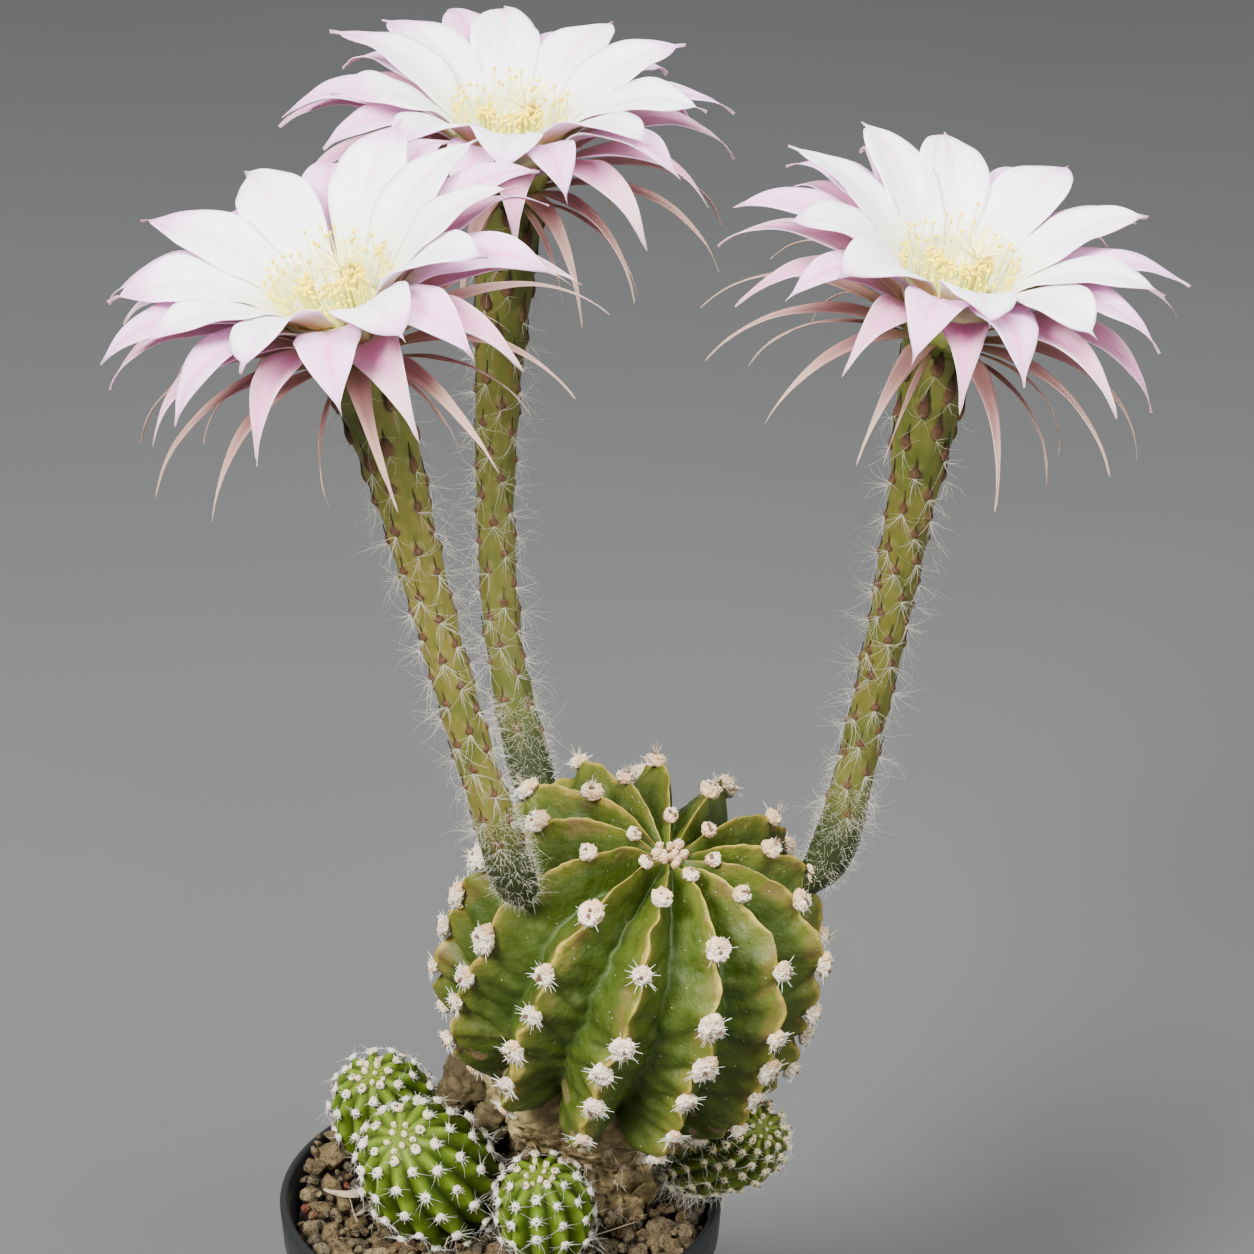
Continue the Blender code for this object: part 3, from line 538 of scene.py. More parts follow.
def hair(draw, root, way, length, radius, waviness, droop=0.0, steps=5):
    """A strand that bends one way, wanders and hangs a little, as (point, radius) stations."""
    line = [(root, radius)]
    point, heading = root, way.normalized()
    bend = any_way(draw)
    for step in range(1, steps + 1):
        heading = heading + waviness * (0.8 * bend + 0.6 * any_way(draw))
        heading = (heading + up(-droop)).normalized()
        point = point + heading * (length / steps)
        line.append((point, radius * (1.0 - 0.8 * step / steps)))
    return line


class Finish:
    """A procedural material in the making, with the colour and the normal that are laid on so far."""

    def __init__(self, name, roughness=0.5, **shader_values):
        self.material = bpy.data.materials.new(name)
        self.material.use_nodes = True
        self.tree = self.material.node_tree
        self.shader = self.tree.nodes["Principled BSDF"]
        self.shader.inputs["Roughness"].default_value = roughness
        for socket, value in shader_values.items():
            self.shader.inputs[socket.replace("_", " ")].default_value = value
        self.colour = None
        self.normal = None

    def put(self, socket, value):
        if isinstance(value, bpy.types.NodeSocket):
            self.tree.links.new(value, socket)
        else:
            socket.default_value = value

    def node(self, kind, settings=None, **inputs):
        node = self.tree.nodes.new(kind)
        for name, value in (settings or {}).items():
            setattr(node, name, value)
        for name, value in inputs.items():
            self.put(node.inputs[name.replace("_", " ")], value)
        return node

    def place(self):
        return self.node("ShaderNodeTexCoord").outputs["Object"]

    def mark(self, name):
        return self.node("ShaderNodeAttribute", {"attribute_name": name}).outputs["Fac"]

    def stretched(self, *scale):
        """Object coordinates, stretched by scale along each axis."""
        return self.node("ShaderNodeMapping", Vector=self.place(), Scale=scale).outputs["Vector"]

    def noise(self, size, detail=3.0, roughness=0.55, vector=None):
        """Noise with features of a size in millimetres, or in the vector's own units if one is given."""
        settings = {"Scale": 1.0 / (size * (MM if vector is None else 1.0)), "Detail": detail}
        vector = self.place() if vector is None else vector
        return self.node("ShaderNodeTexNoise", Vector=vector, Roughness=roughness, **settings).outputs["Fac"]

    def cells(self, size):
        """The distance to the middle of the nearest cell, for cells of a size in millimetres."""
        scale = 1.0 / (size * MM)
        return self.node("ShaderNodeTexVoronoi", Vector=self.place(), Scale=scale).outputs["Distance"]

    def sum(self, operation, first, second=0.0):
        node = self.node("ShaderNodeMath", {"operation": operation})
        for socket, value in zip(node.inputs, (first, second)):
            self.put(socket, value)
        return node.outputs["Value"]

    def add(self, first, second):
        return self.sum("ADD", first, second)

    def times(self, first, second):
        return self.sum("MULTIPLY", first, second)

    def swing(self, value, amount):
        """A number from 0 to 1 made to swing about 0 by the amount."""
        return self.times(self.sum("SUBTRACT", value, 0.5), amount)

    def ramp(self, value, *stops):
        """Reads a number as 0 to 1 through (position, amount) or (position, colour) stops."""
        node = self.node("ShaderNodeValToRGB", Fac=value)
        elements = node.color_ramp.elements
        while len(elements) < len(stops):
            elements.new(0.5)
        for element, (position, amount) in zip(elements, stops):
            element.position = position
            element.color = (*amount, 1.0) if isinstance(amount, tuple) else (amount, amount, amount, 1.0)
        return node.outputs["Color"]

    def mix(self, share, first, second, blend="MIX"):
        node = self.node("ShaderNodeMix", {"data_type": "RGBA", "blend_type": blend})
        for socket, value in zip((node.inputs[0], node.inputs[6], node.inputs[7]), (share, first, second)):
            self.put(socket, (*value, 1.0) if isinstance(value, tuple) else value)
        return node.outputs[2]

    def lay(self, share, colour):
        """Lays a colour over what is there."""
        self.colour = self.mix(share, self.colour, colour)

    def coat(self, value, start, end, colour):
        """Lays a colour on where a number passes through two (position, share) stops."""
        self.lay(self.ramp(value, start, end), colour)

    def darken(self, factor):
        self.colour = self.mix(1.0, self.colour, factor, "MULTIPLY")

    def bump(self, height, depth, strength=1.0):
        """Raises the surface by a height between 0 and 1 over a depth in millimetres."""
        node = self.node("ShaderNodeBump", Height=height, Strength=strength, Distance=MM * depth)
        if self.normal is not None:
            self.put(node.inputs["Normal"], self.normal)
        self.normal = node.outputs["Normal"]

    def done(self, roughness=None):
        found = {"Base Color": self.colour, "Normal": self.normal, "Roughness": roughness}
        for socket, value in found.items():
            if value is not None:
                self.put(self.shader.inputs[socket], value)
        return self.material


def flecked(name, size, dark, light, detail=3.0, depth=0.0, **shader_values):
    """A finish that wavers between two colours, and is grained over a depth if it has one."""
    made = Finish(name, **shader_values)
    grain = made.noise(size, detail)
    made.colour = made.ramp(grain, (0.3, dark), (0.7, light))
    if depth:
        made.bump(grain, depth)
    return made.done()


# Materials


def pot_plastic():
    made = Finish("pot_plastic", Specular_IOR_Level=0.42)
    made.colour = (0.008, 0.0085, 0.0095)
    scuffs = made.noise(9.0, 5.0, 0.7, made.stretched(0.6, 0.6, 3.0))
    made.coat(scuffs, (0.56, 0.0), (0.78, 1.0), (0.015, 0.015, 0.016))
    made.coat(made.noise(2.2, 2.0), (0.74, 0.0), (0.80, 0.55), (0.065, 0.057, 0.048))
    made.bump(made.noise(0.7, 4.0), 0.04, 0.35)
    return made.done(made.ramp(made.noise(5.0, 4.0), (0.3, 0.34), (0.7, 0.50)))


def soil_brown():
    made = Finish("soil_brown", roughness=0.95)
    made.colour = made.ramp(made.noise(1.6, 6.0), (0.3, (0.016, 0.011, 0.007)), (0.7, (0.060, 0.042, 0.026)))
    made.bump(made.noise(0.8, 6.0), 0.8)
    return made.done()


def stone_grit():
    """Porous tan, brown and grey stones: each one's own tint picks its colour, with painted shade darkening
    the pores.
    """
    made = Finish("stone_grit", roughness=0.9, Specular_IOR_Level=0.2)
    made.colour = made.ramp(
        made.mark("tint"), (0.0, (0.100, 0.066, 0.030)), (0.20, (0.175, 0.124, 0.060)),
        (0.38, (0.088, 0.068, 0.041)), (0.56, (0.220, 0.165, 0.086)), (0.72, (0.070, 0.060, 0.046)),
        (0.90, (0.142, 0.090, 0.044)), (1.0, (0.150, 0.036, 0.021)))
    made.darken(made.ramp(made.noise(2.2, 6.0, 0.65), (0.34, 0.38), (0.66, 1.25)))
    pores = made.ramp(made.cells(0.75), (0.10, 0.0), (0.34, 1.0))
    holes = made.sum("MAXIMUM", pores, made.ramp(made.noise(1.1, 5.0), (0.44, 0.0), (0.60, 1.0)))
    # Painted shade: the pores and pits that the bump sinks are darkened.
    made.colour = made.mix(holes, made.mix(1.0, made.colour, (0.26, 0.22, 0.19), "MULTIPLY"), made.colour)
    made.coat(made.noise(0.5, 3.0), (0.60, 0.0), (0.70, 0.75), (0.32, 0.255, 0.155))
    made.bump(holes, 0.6)
    made.bump(made.noise(2.6, 3.0), 1.4)
    made.bump(made.noise(0.7, 7.0, 0.7), 0.8)
    return made.done()


def globe_skin_green():
    """Waxy olive green with ochre crests, brown patches beside them, pale scuffs and creased grooves, with
    painted shade darkening each groove and a painted highlight along each crest.
    """
    made = Finish("globe_skin", Specular_IOR_Level=0.26, Subsurface_Weight=0.05, Subsurface_Scale=0.002)
    crest, low = made.mark("crest"), made.mark("low")
    fine = made.noise(2.6, 4.0)
    made.colour = made.ramp(made.noise(13.0, 4.0), (0.28, (0.028, 0.049, 0.002)),
                            (0.5, (0.036, 0.057, 0.003)), (0.74, (0.048, 0.068, 0.004)))
    made.coat(fine, (0.35, 0.0), (0.75, 0.22), (0.090, 0.110, 0.020))
    # Painted shade: the green darkens towards the bottom of each groove.
    made.coat(crest, (0.55, 0.0), (1.0, 0.50), (0.018, 0.040, 0.004))
    # Painted highlight: a lighter yellow-green band along each crest.
    made.coat(crest, (0.03, 0.70), (0.34, 0.0), (0.135, 0.138, 0.016))
    stain = made.ramp(made.noise(9.0, 4.0), (0.53, 0.0), (0.66, 0.75))
    made.lay(made.times(stain, made.ramp(crest, (0.06, 1.0), (0.42, 0.0))), (0.150, 0.085, 0.032))
    ragged = made.add(crest, made.swing(made.noise(1.6, 3.0), 0.08))
    width = made.times(made.sum("SUBTRACT", made.noise(12.0, 2.0), 0.45), -0.30)
    ochre = made.ramp(made.noise(4.5, 3.0), (0.32, (0.20, 0.145, 0.022)), (0.55, (0.33, 0.265, 0.042)),
                      (0.72, (0.29, 0.170, 0.050)))
    made.coat(made.add(ragged, width), (0.0, 0.95), (0.06, 0.0), ochre)
    reach = made.add(made.add(low, made.times(crest, 0.05)), made.swing(made.noise(5.0, 5.0), 0.16))
    made.coat(reach, (0.69, 0.0), (0.75, 1.0), (0.17, 0.115, 0.060))
    scars = made.ramp(made.noise(7.0, 3.0, 0.5), (0.62, 0.0), (0.66, 0.8))
    made.lay(made.times(made.ramp(low, (0.50, 0.0), (0.62, 1.0)), scars), (0.19, 0.105, 0.062))
    made.coat(crest, (0.965, 0.0), (0.995, 0.14), (0.15, 0.19, 0.09))
    scuffs = made.noise(1.5, 6.0, 0.72, made.stretched(1.0, 1.0, 0.4))
    made.coat(scuffs, (0.57, 0.0), (0.76, 0.34), (0.150, 0.175, 0.075))
    made.coat(made.noise(6.0, 5.0, 0.65), (0.56, 0.0), (0.74, 0.34), (0.100, 0.130, 0.045))
    made.coat(made.cells(2.9), (0.05, 0.7), (0.09, 0.0), (0.36, 0.40, 0.27))
    made.bump(made.noise(3.2, 4.0), 0.7, 0.9)
    made.bump(made.noise(0.6, 4.0), 0.12, 0.7)
    return made.done(made.ramp(fine, (0.3, 0.42), (0.7, 0.62)))


def wool(name, white, tan):
    """Crumbly wool: white, or tan where its tint is high, with painted shade darkening the hollows between
    the crumbs.
    """
    made = Finish(name, roughness=0.95, Specular_IOR_Level=0.1, Sheen_Weight=0.1)
    crumbs, fuzz = made.cells(0.62), made.noise(0.35, 4.0, 0.7)
    tint = made.add(made.mark("tint"), made.swing(made.noise(1.3), 1.4))
    made.colour = white
    made.coat(tint, (0.35, 0.0), (0.85, 1.0), tan)
    # Painted shade: brown in the hollows between the crumbs, which the bump sinks.
    made.coat(crumbs, (0.40, 0.0), (0.80, 0.75), (0.42, 0.28, 0.17))
    made.coat(fuzz, (0.50, 0.0), (0.70, 0.45), (0.95, 0.92, 0.86))
    made.bump(crumbs, -0.5)
    made.bump(fuzz, 0.25, 0.8)
    return made.done()


def spine_white():
    return flecked("spine_white", 3.0, (0.78, 0.72, 0.60), (0.92, 0.90, 0.82), Subsurface_Weight=0.1,
                   Subsurface_Scale=0.001)


def spine_tan():
    return flecked("spine_tan", 3.0, (0.34, 0.24, 0.15), (0.64, 0.54, 0.40), roughness=0.6)


def areole_dot():
    return flecked("areole_dot", 1.0, (0.06, 0.035, 0.02), (0.16, 0.085, 0.04), roughness=0.8)


def straw_pale():
    return flecked("straw_pale", 2.0, (0.20, 0.145, 0.08), (0.40, 0.32, 0.21), 4.0, roughness=0.75)


def hair_white(name, dull, bright):
    return flecked(name, 6.0, dull, bright, roughness=0.6, Specular_IOR_Level=0.2)


def bark(name, painted_light_factor):
    """Dry papery cork, in layers, with pale ridges and painted shade darkening the hollows and crevices; its
    brightness is scaled by a painted light factor.
    """
    made = Finish(name, roughness=0.92, Specular_IOR_Level=0.2)
    layers = made.noise(3.4, 8.0, 0.68, made.stretched(1.0, 1.0, 1.8))
    # Painted shade: the layers darken where their bump is low.
    made.colour = made.ramp(layers, (0.32, (0.040, 0.027, 0.012)), (0.43, (0.18, 0.132, 0.058)),
                            (0.54, (0.38, 0.290, 0.140)), (0.70, (0.64, 0.53, 0.29)))
    arcs = made.noise(2.2, 3.0, 0.5, made.stretched(0.5, 0.5, 1.5))
    made.darken(made.ramp(arcs, (0.47, 1.0), (0.50, 0.50), (0.53, 1.0)))
    # Painted shade: darker towards the crevices at the cells' edges, and scaled by the painted light factor.
    made.darken(made.ramp(made.cells(4.2), (0.05, 1.30 * painted_light_factor), (0.60, 0.55 * painted_light_factor)))
    made.coat(made.noise(14.0, 3.0), (0.60, 0.0), (0.74, 0.55), (0.09, 0.11, 0.025))
    made.bump(layers, 3.0)
    made.bump(made.noise(1.1, 6.0), 0.9)
    return made.done()


def pup_green(name, dark, bright):
    """Fresh green skin with a painted highlight on the crests and painted shade in the grooves, bright near
    the tip and corky low down.
    """
    made = Finish(name, Specular_IOR_Level=0.20, Subsurface_Weight=0.05, Subsurface_Scale=0.0015)
    crest, low = made.mark("crest"), made.mark("low")
    made.colour = dark
    made.coat(made.noise(7.0), (0.3, 0.0), (0.7, 1.0), bright)
    # Painted highlight: a brighter green along each crest.
    made.coat(crest, (0.0, 0.60), (0.55, 0.0), tuple(1.5 * part for part in bright))
    # Painted shade: darker towards the bottom of each groove.
    made.coat(crest, (0.50, 0.0), (1.0, 0.85), tuple(0.25 * part for part in dark))
    made.coat(low, (0.02, 0.35), (0.22, 0.0), (0.13, 0.17, 0.014))
    corky = made.ramp(made.noise(4.0, 5.0), (0.35, 0.0), (0.6, 1.0))
    made.lay(made.times(made.ramp(low, (0.76, 0.0), (0.92, 1.0)), corky), (0.12, 0.080, 0.044))
    made.coat(made.noise(1.3, 5.0, 0.7), (0.60, 0.0), (0.78, 0.30), (0.18, 0.24, 0.08))
    made.coat(made.cells(2.2), (0.05, 0.5), (0.10, 0.0), (0.30, 0.36, 0.16))
    made.bump(made.noise(1.2, 4.0), 0.2, 0.6)
    return made.done(made.ramp(made.noise(2.0), (0.3, 0.48), (0.7, 0.65)))


def tube_green():
    """Olive and yellow-green, streaked along the tube, brown round the scales and dark on the bulb."""
    made = Finish("tube_green", roughness=0.55, Specular_IOR_Level=0.30, Subsurface_Weight=0.05,
                  Subsurface_Scale=0.0015)
    along, stain, ridge = made.mark("along"), made.mark("stain"), made.mark("ridge")
    made.colour = made.ramp(
        along, (0.0, (0.012, 0.020, 0.003)), (0.14, (0.020, 0.032, 0.004)), (0.22, (0.085, 0.092, 0.010)),
        (0.45, (0.120, 0.118, 0.015)), (0.7, (0.118, 0.115, 0.015)), (0.88, (0.075, 0.100, 0.011)),
        (1.0, (0.130, 0.150, 0.026)))
    streaks = made.noise(1.3, 4.0, 0.6, made.stretched(1.0, 1.0, 0.14))
    furrows = made.noise(0.55, 3.0, 0.6, made.stretched(1.0, 1.0, 0.07))
    pale = made.times(made.ramp(streaks, (0.3, 0.0), (0.7, 0.6)), made.ramp(along, (0.14, 0.1), (0.24, 1.0)))
    made.lay(pale, (0.22, 0.185, 0.040))
    made.coat(ridge, (0.1, 0.0), (1.0, 0.45), (0.25, 0.20, 0.050))
    made.coat(ridge, (0.0, 0.30), (0.30, 0.0), (0.060, 0.078, 0.008))
    made.coat(made.noise(12.0), (0.48, 0.0), (0.66, 0.60), (0.052, 0.076, 0.007))
    ochre = made.ramp(made.noise(9.0, 3.0, 0.5, made.stretched(1.0, 1.0, 0.35)), (0.56, 0.0), (0.70, 0.55))
    made.lay(made.times(ochre, made.ramp(along, (0.16, 0.0), (0.28, 1.0))), (0.23, 0.155, 0.033))
    made.coat(furrows, (0.36, 0.55), (0.56, 0.0), (0.040, 0.052, 0.005))
    blush = made.times(made.ramp(made.noise(5.0, 3.0), (0.50, 0.0), (0.66, 0.7)),
                       made.ramp(along, (0.30, 0.2), (0.9, 1.0)))
    made.lay(made.times(blush, made.ramp(ridge, (0.2, 0.0), (0.9, 1.0))), (0.15, 0.060, 0.022))
    blotch = made.times(made.ramp(made.noise(1.1, 5.0, 0.7), (0.36, 0.1), (0.58, 1.0)), stain)
    made.lay(blotch, (0.065, 0.034, 0.015))
    made.coat(along, (0.10, 0.75), (0.19, 0.0), (0.009, 0.016, 0.002))
    made.bump(streaks, 0.45, 0.7)
    made.bump(furrows, 0.25, 0.8)
    return made.done()


def scale_brown():
    """Dry brown scales, tan at the swollen foot and dark at the point."""
    made = Finish("scale_brown", roughness=0.75, Specular_IOR_Level=0.2)
    share = made.add(made.mark("along"), made.swing(made.noise(0.8, 4.0), 0.6))
    made.colour = made.ramp(share, (0.0, (0.17, 0.110, 0.050)), (0.18, (0.105, 0.052, 0.026)),
                            (0.42, (0.062, 0.029, 0.015)), (0.62, (0.032, 0.018, 0.010)),
                            (1.0, (0.024, 0.015, 0.009)))
    made.bump(made.noise(0.7, 4.0), 0.3, 0.9)
    return made.done()


def petal(name, body, root, tip, stripe, edge, stripe_width, stripe_share, tip_start):
    """A silky petal: its colour from root to tip, a stripe along the middle, an edge and lengthwise veins."""
    made = Finish(name, roughness=0.45, Specular_IOR_Level=0.25, Subsurface_Weight=0.18,
                  Subsurface_Scale=0.002, Sheen_Weight=0.05)
    across, along, tint = made.mark("across"), made.mark("along"), made.mark("tint")
    aside = made.sum("ABSOLUTE", across)
    made.colour = root
    made.coat(along, (0.10, 0.0), (0.40, 1.0), body)
    middle = made.times(made.ramp(aside, (0.0, 1.0), (stripe_width, 0.0)),
                        made.ramp(along, (0.25, 0.15), (0.75, 1.0)))
    made.lay(made.times(middle, stripe_share), stripe)
    flush = made.add(made.add(along, made.swing(tint, 0.30)), made.times(aside, 0.06))
    made.coat(flush, (tip_start, 0.0), (1.05, 1.0), tip)
    rim = made.times(made.ramp(aside, (0.88, 0.0), (1.0, 0.8)), made.ramp(along, (0.3, 0.0), (0.7, 1.0)))
    made.lay(rim, edge)
    made.coat(along, (0.93, 0.0), (0.98, 0.75), (0.55, 0.33, 0.30))
    vein_place = made.node("ShaderNodeCombineXYZ", X=across, Y=made.times(along, 0.12), Z=tint)
    veins = made.noise(0.045, 3.0, 0.6, vein_place.outputs["Vector"])
    darker = made.mix(1.0, made.colour, (0.80, 0.72, 0.81), "MULTIPLY")
    made.coat(veins, (0.32, 0.62), (0.58, 0.0), darker)
    made.bump(veins, 0.32, 0.8)
    return made.done()


def throat_cream():
    """Green at its foot, where it grows out of the tube, and cream above."""
    made = Finish("throat_cream", Subsurface_Weight=0.3, Subsurface_Scale=0.003)
    blend = made.add(made.mark("along"), made.swing(made.noise(2.0), 0.3))
    made.colour = made.ramp(blend, (0.10, (0.12, 0.16, 0.015)), (0.42, (0.42, 0.46, 0.10)),
                            (0.70, (0.86, 0.86, 0.50)))
    return made.done()


# Pot and soil


def make_pot():
    """The pot: a tapered wall, a band under a rounded lip with a line inside it, and a drained floor."""
    foot, under_band = POT_FOOT_RADIUS, POT_HEIGHT - RIM_BAND
    wall = POT_INSIDE + POT_WALL
    profile = [(0.0, 0.9), (24.0, 0.9), (25.0, 0.0), (foot - 1.5, 0.0), (foot - 0.4, 0.4), (foot, 1.5)]
    for step in range(1, 9):
        profile.append((foot + (wall - foot) * step / 8, 1.5 + (under_band - 2.5) * step / 8))
    profile += [(BAND_RADIUS + 0.7, under_band - 0.35), (BAND_RADIUS + 1.0, under_band + 0.3)]
    for step in range(7):
        turn = math.pi * step / 6
        profile.append((POT_RADIUS - 1.25 + 1.25 * math.cos(turn), POT_HEIGHT - 1.3 + 1.3 * math.sin(turn)))
    profile += [(POT_RADIUS - 2.7, POT_HEIGHT - 2.4), (POT_RADIUS - 3.0, POT_HEIGHT - 4.0),
                (POT_INSIDE, under_band), (foot - POT_WALL, POT_WALL + 1.0),
                (foot - POT_WALL - 1.0, POT_WALL), (0.0, POT_WALL)]
    pot = new_object("pot_shell", lathe(profile))
    drains = bmesh.new()
    radius = MM * DRAIN_RADIUS
    for number in range(DRAIN_HOLES):
        turn = math.tau * (number + 0.5) / DRAIN_HOLES
        middle = Vector((DRAIN_CIRCLE * math.cos(turn), DRAIN_CIRCLE * math.sin(turn), 1.0))
        spot = Matrix.Translation(MM * middle)
        bmesh.ops.create_cone(drains, cap_ends=True, segments=32, radius1=radius, radius2=radius,
                              depth=MM * 3 * POT_WALL, matrix=spot)
    cutter = new_object("drains", drains)
    modifier = pot.modifiers.new("drains", "BOOLEAN")
    modifier.operation = "DIFFERENCE"
    modifier.object = cutter
    graph = bpy.context.evaluated_depsgraph_get()
    cut = bpy.data.meshes.new_from_object(pot.evaluated_get(graph))
    pot.modifiers.clear()
    pot.data = cut
    bpy.data.objects.remove(cutter)
    dress(pot, [pot_plastic()], ["pot"], sharp_angle=50)


def ground(x, y):
    """How high the stones lie, banked up at the rim and in the heaps behind the pups."""
    height = SOIL_TOP + RIM_BANK * (math.hypot(x, y) / STONE_REACH) ** 4
    for centre, rise, width in HEAPS:
        height += rise * math.exp(-(math.dist(centre, (x, y)) / width) ** 2)
    return height


def make_soil():
    """Dark soil under the stones, uneven on top."""
    inside = POT_INSIDE - 0.4
    edge = SOIL_TOP - 5.5
    floor = POT_WALL + 0.5
    profile = [(0.0, floor), (POT_FOOT_RADIUS - POT_WALL - 1.5, floor), (inside, edge - 2.0)]
    profile += [(inside * (1.0 - step / 24), edge) for step in range(25)]
    bm = lathe(profile, 96)
    for vert in bm.verts:
        point = vert.co / MM
        if point.z > edge - 1.0:
            clods = 1.0 * rough(point, 7.0) + 0.5 * rough(point, 2.5, 3.0)
            vert.co.z += MM * (ground(point.x, point.y) - SOIL_TOP + clods)
    dress(new_object("soil_bed", bm), [soil_brown()], ["soil"])


def plant_room(spot, size):
    """Whether a stone of that size at that spot stays clear of the trunk and the pups."""
    if (spot - Vector(TRUNK_LINE[-1])).to_2d().length < TRUNK_RADII[-1][1] + 0.35 * size:
        return False
    for pup in PUPS.values():
        for step in range(7):
            share = step / 6
            centre = smooth_line(pup["line"], share)
            radius = pup["radius"] * math.sqrt(max(1.0 - (2.0 * share - 1.0) ** 2, 0.0))
            if (spot - centre).length < radius + 0.45 * size:
                return False
    return True


def make_stones():
    """Angular stones in layers from large to small, each facetted by flat cuts and roughened."""
    draw = random.Random(SEED + 2)
    placed = []
    for least, most, low, high, tries in STONE_LAYERS:
        for _ in range(tries):
            size = draw.uniform(least, most)
            way = any_turn(draw)
            out = (STONE_REACH - size) * math.sqrt(draw.random())
            x, y = out * math.cos(way), out * math.sin(way)
            spot = Vector((x, y, ground(x, y) + draw.uniform(low, high)))
            if all((spot - other).length >= STONE_CLOSENESS * (size + wide) for other, wide in placed):
                if plant_room(spot, size):
                    placed.append((spot, size))
    pile = Pile("tint")
    for spot, size in placed:
        cuts = [(any_way(draw), draw.uniform(0.56, 0.88)) for _ in range(STONE_FACETS)]
        seed = draw.uniform(0.0, 90.0)
        stretch = Vector((1.0, draw.uniform(0.72, 0.95), draw.uniform(0.62, 0.85)))
        turn = Matrix.Rotation(any_turn(draw), 4, any_way(draw))
        colour = draw.random() * 0.93 if draw.random() > 0.025 else 1.0

        def shape(unit):
            point = unit.copy()
            for way, depth in cuts:
                point -= 0.94 * max(point.dot(way) - depth, 0.0) * way
            point += unit * (0.13 * rough(unit, 0.50, seed) + 0.06 * rough(unit, 0.22, seed))
            return size * stretch * point

        fine = 3 if size > 2.5 else 2
        add_ball(pile, fine, Matrix.Translation(spot) @ turn, shape, lambda unit: (colour,))
    dress(pile.joined("grit_stones"), [stone_grit()], sharp_angle=42)


def make_litter():
    """Dry straws, a curled dead leaf and pale chaff on the stones."""
    draw = random.Random(SEED + 3)
    lines = []
    for _ in range(9):
        way, out = any_turn(draw), draw.uniform(20.0, 46.0)
        root = Vector((out * math.cos(way), out * math.sin(way), SOIL_TOP + 5.0))
        heading = Vector((draw.uniform(-1.0, 1.0), draw.uniform(-1.0, 1.0), 0.08))
        lines.append(hair(draw, root, heading, draw.uniform(9.0, 20.0), 0.28, 0.22, 0.03))
    dress(strand_object("straws", lines, 1), [straw_pale()])
    chaff = Pile()
    for _ in range(16):
        way, out = any_turn(draw), draw.uniform(14.0, 50.0)
        height = SOIL_TOP + draw.uniform(3.0, 4.6)
        spot = Matrix.Translation((out * math.cos(way), out * math.sin(way), height))
        turned = Matrix.Rotation(any_turn(draw), 4, "Z") @ Matrix.Rotation(draw.uniform(-0.5, 0.5), 4, "X")
        size = Vector((draw.uniform(1.2, 2.3), draw.uniform(0.6, 1.0), 0.35))
        add_ball(chaff, 3, spot @ turned, lambda unit: size * unit)
    dress(chaff.joined("chaff"), [straw_pale()])
    start = Vector((-45.0, 4.0, SOIL_TOP + 8.0))
    side = Vector((0.45, 0.85, 0.35)).normalized()

    def place(u, v):
        turn, across = 2.6 * v - 0.4, 2.0 * u - 1.0
        half = 1.5 * math.sin(math.pi * (0.04 + 0.92 * v)) ** 0.9
        spine = start + Vector((9.0 * math.sin(turn), -9.0 * v, 5.0 * (1.0 - math.cos(turn)) - 3.0))
        return (spine + side * half * across + up(0.5 * across ** 2),)

    leaf = Pile()
    add_grid(leaf, 6, 26, place)
    dress(solidify(leaf.joined("dead_leaf"), 0.3), [straw_pale()])


# Globe


def areole_angles(rib):
    """How far down a rib its areoles sit. Most ribs start higher or lower than the rib beside them."""
    rib %= GLOBE_RIBS
    draw = random.Random(SEED + rib)
    base = AREOLES_LOW if rib in LOW_START_RIBS else AREOLES_HIGH
    return [angle + draw.uniform(-1.0, 1.0) * AREOLE_JITTER for angle in base]


GLOBE_AREOLES = [[math.radians(angle) for angle in areole_angles(rib)] for rib in range(GLOBE_RIBS)]


def rib_turn(rib):
    """The turn of a rib's crest round the globe's axis, from the side that faces -Y towards +X."""
    return FIRST_RIB_TURN + math.tau * rib / GLOBE_RIBS


def crest_shape(share, low):
    """A rib's height from its crest, share 0, to its groove, share 1.

    Its edge is sharp and its flanks are slightly hollow, but at the globe's foot, low 1, it's a blunt lobe.
    """
    roundness = CREST_ROUND + (FOOT_CREST_ROUND - CREST_ROUND) * low
    fall = (math.hypot(share, roundness) - roundness) / (math.hypot(1.0, roundness) - roundness)
    return 1.0 - fall ** (FLANK_HOLLOW + (FOOT_FLANK_SWELL - FLANK_HOLLOW) * low)


def crest_step(rib, angle, share):
    """How far a rib stands off its even line: set back just below each areole, then swelling to the next.

    The folds slant down from the crest towards the groove, and fade before they reach it.
    """
    angle = max(angle - FOLD_SLANT * share, 0.0)
    stops = (0.0, *GLOBE_AREOLES[rib % GLOBE_RIBS], math.pi)
    for low, high in zip(stops, stops[1:]):
        if angle <= high:
            part = (angle - low) / (high - low)
            setback = CREST_SETBACK * eased(part / 0.14) * (1.0 - eased((part - 0.14) / 0.45))
            swell = CREST_SWELL * math.sin(math.pi * part ** 1.5)
            return (swell - setback) * eased(low / 0.9) * (1.0 - share) ** 1.3
    return 0.0


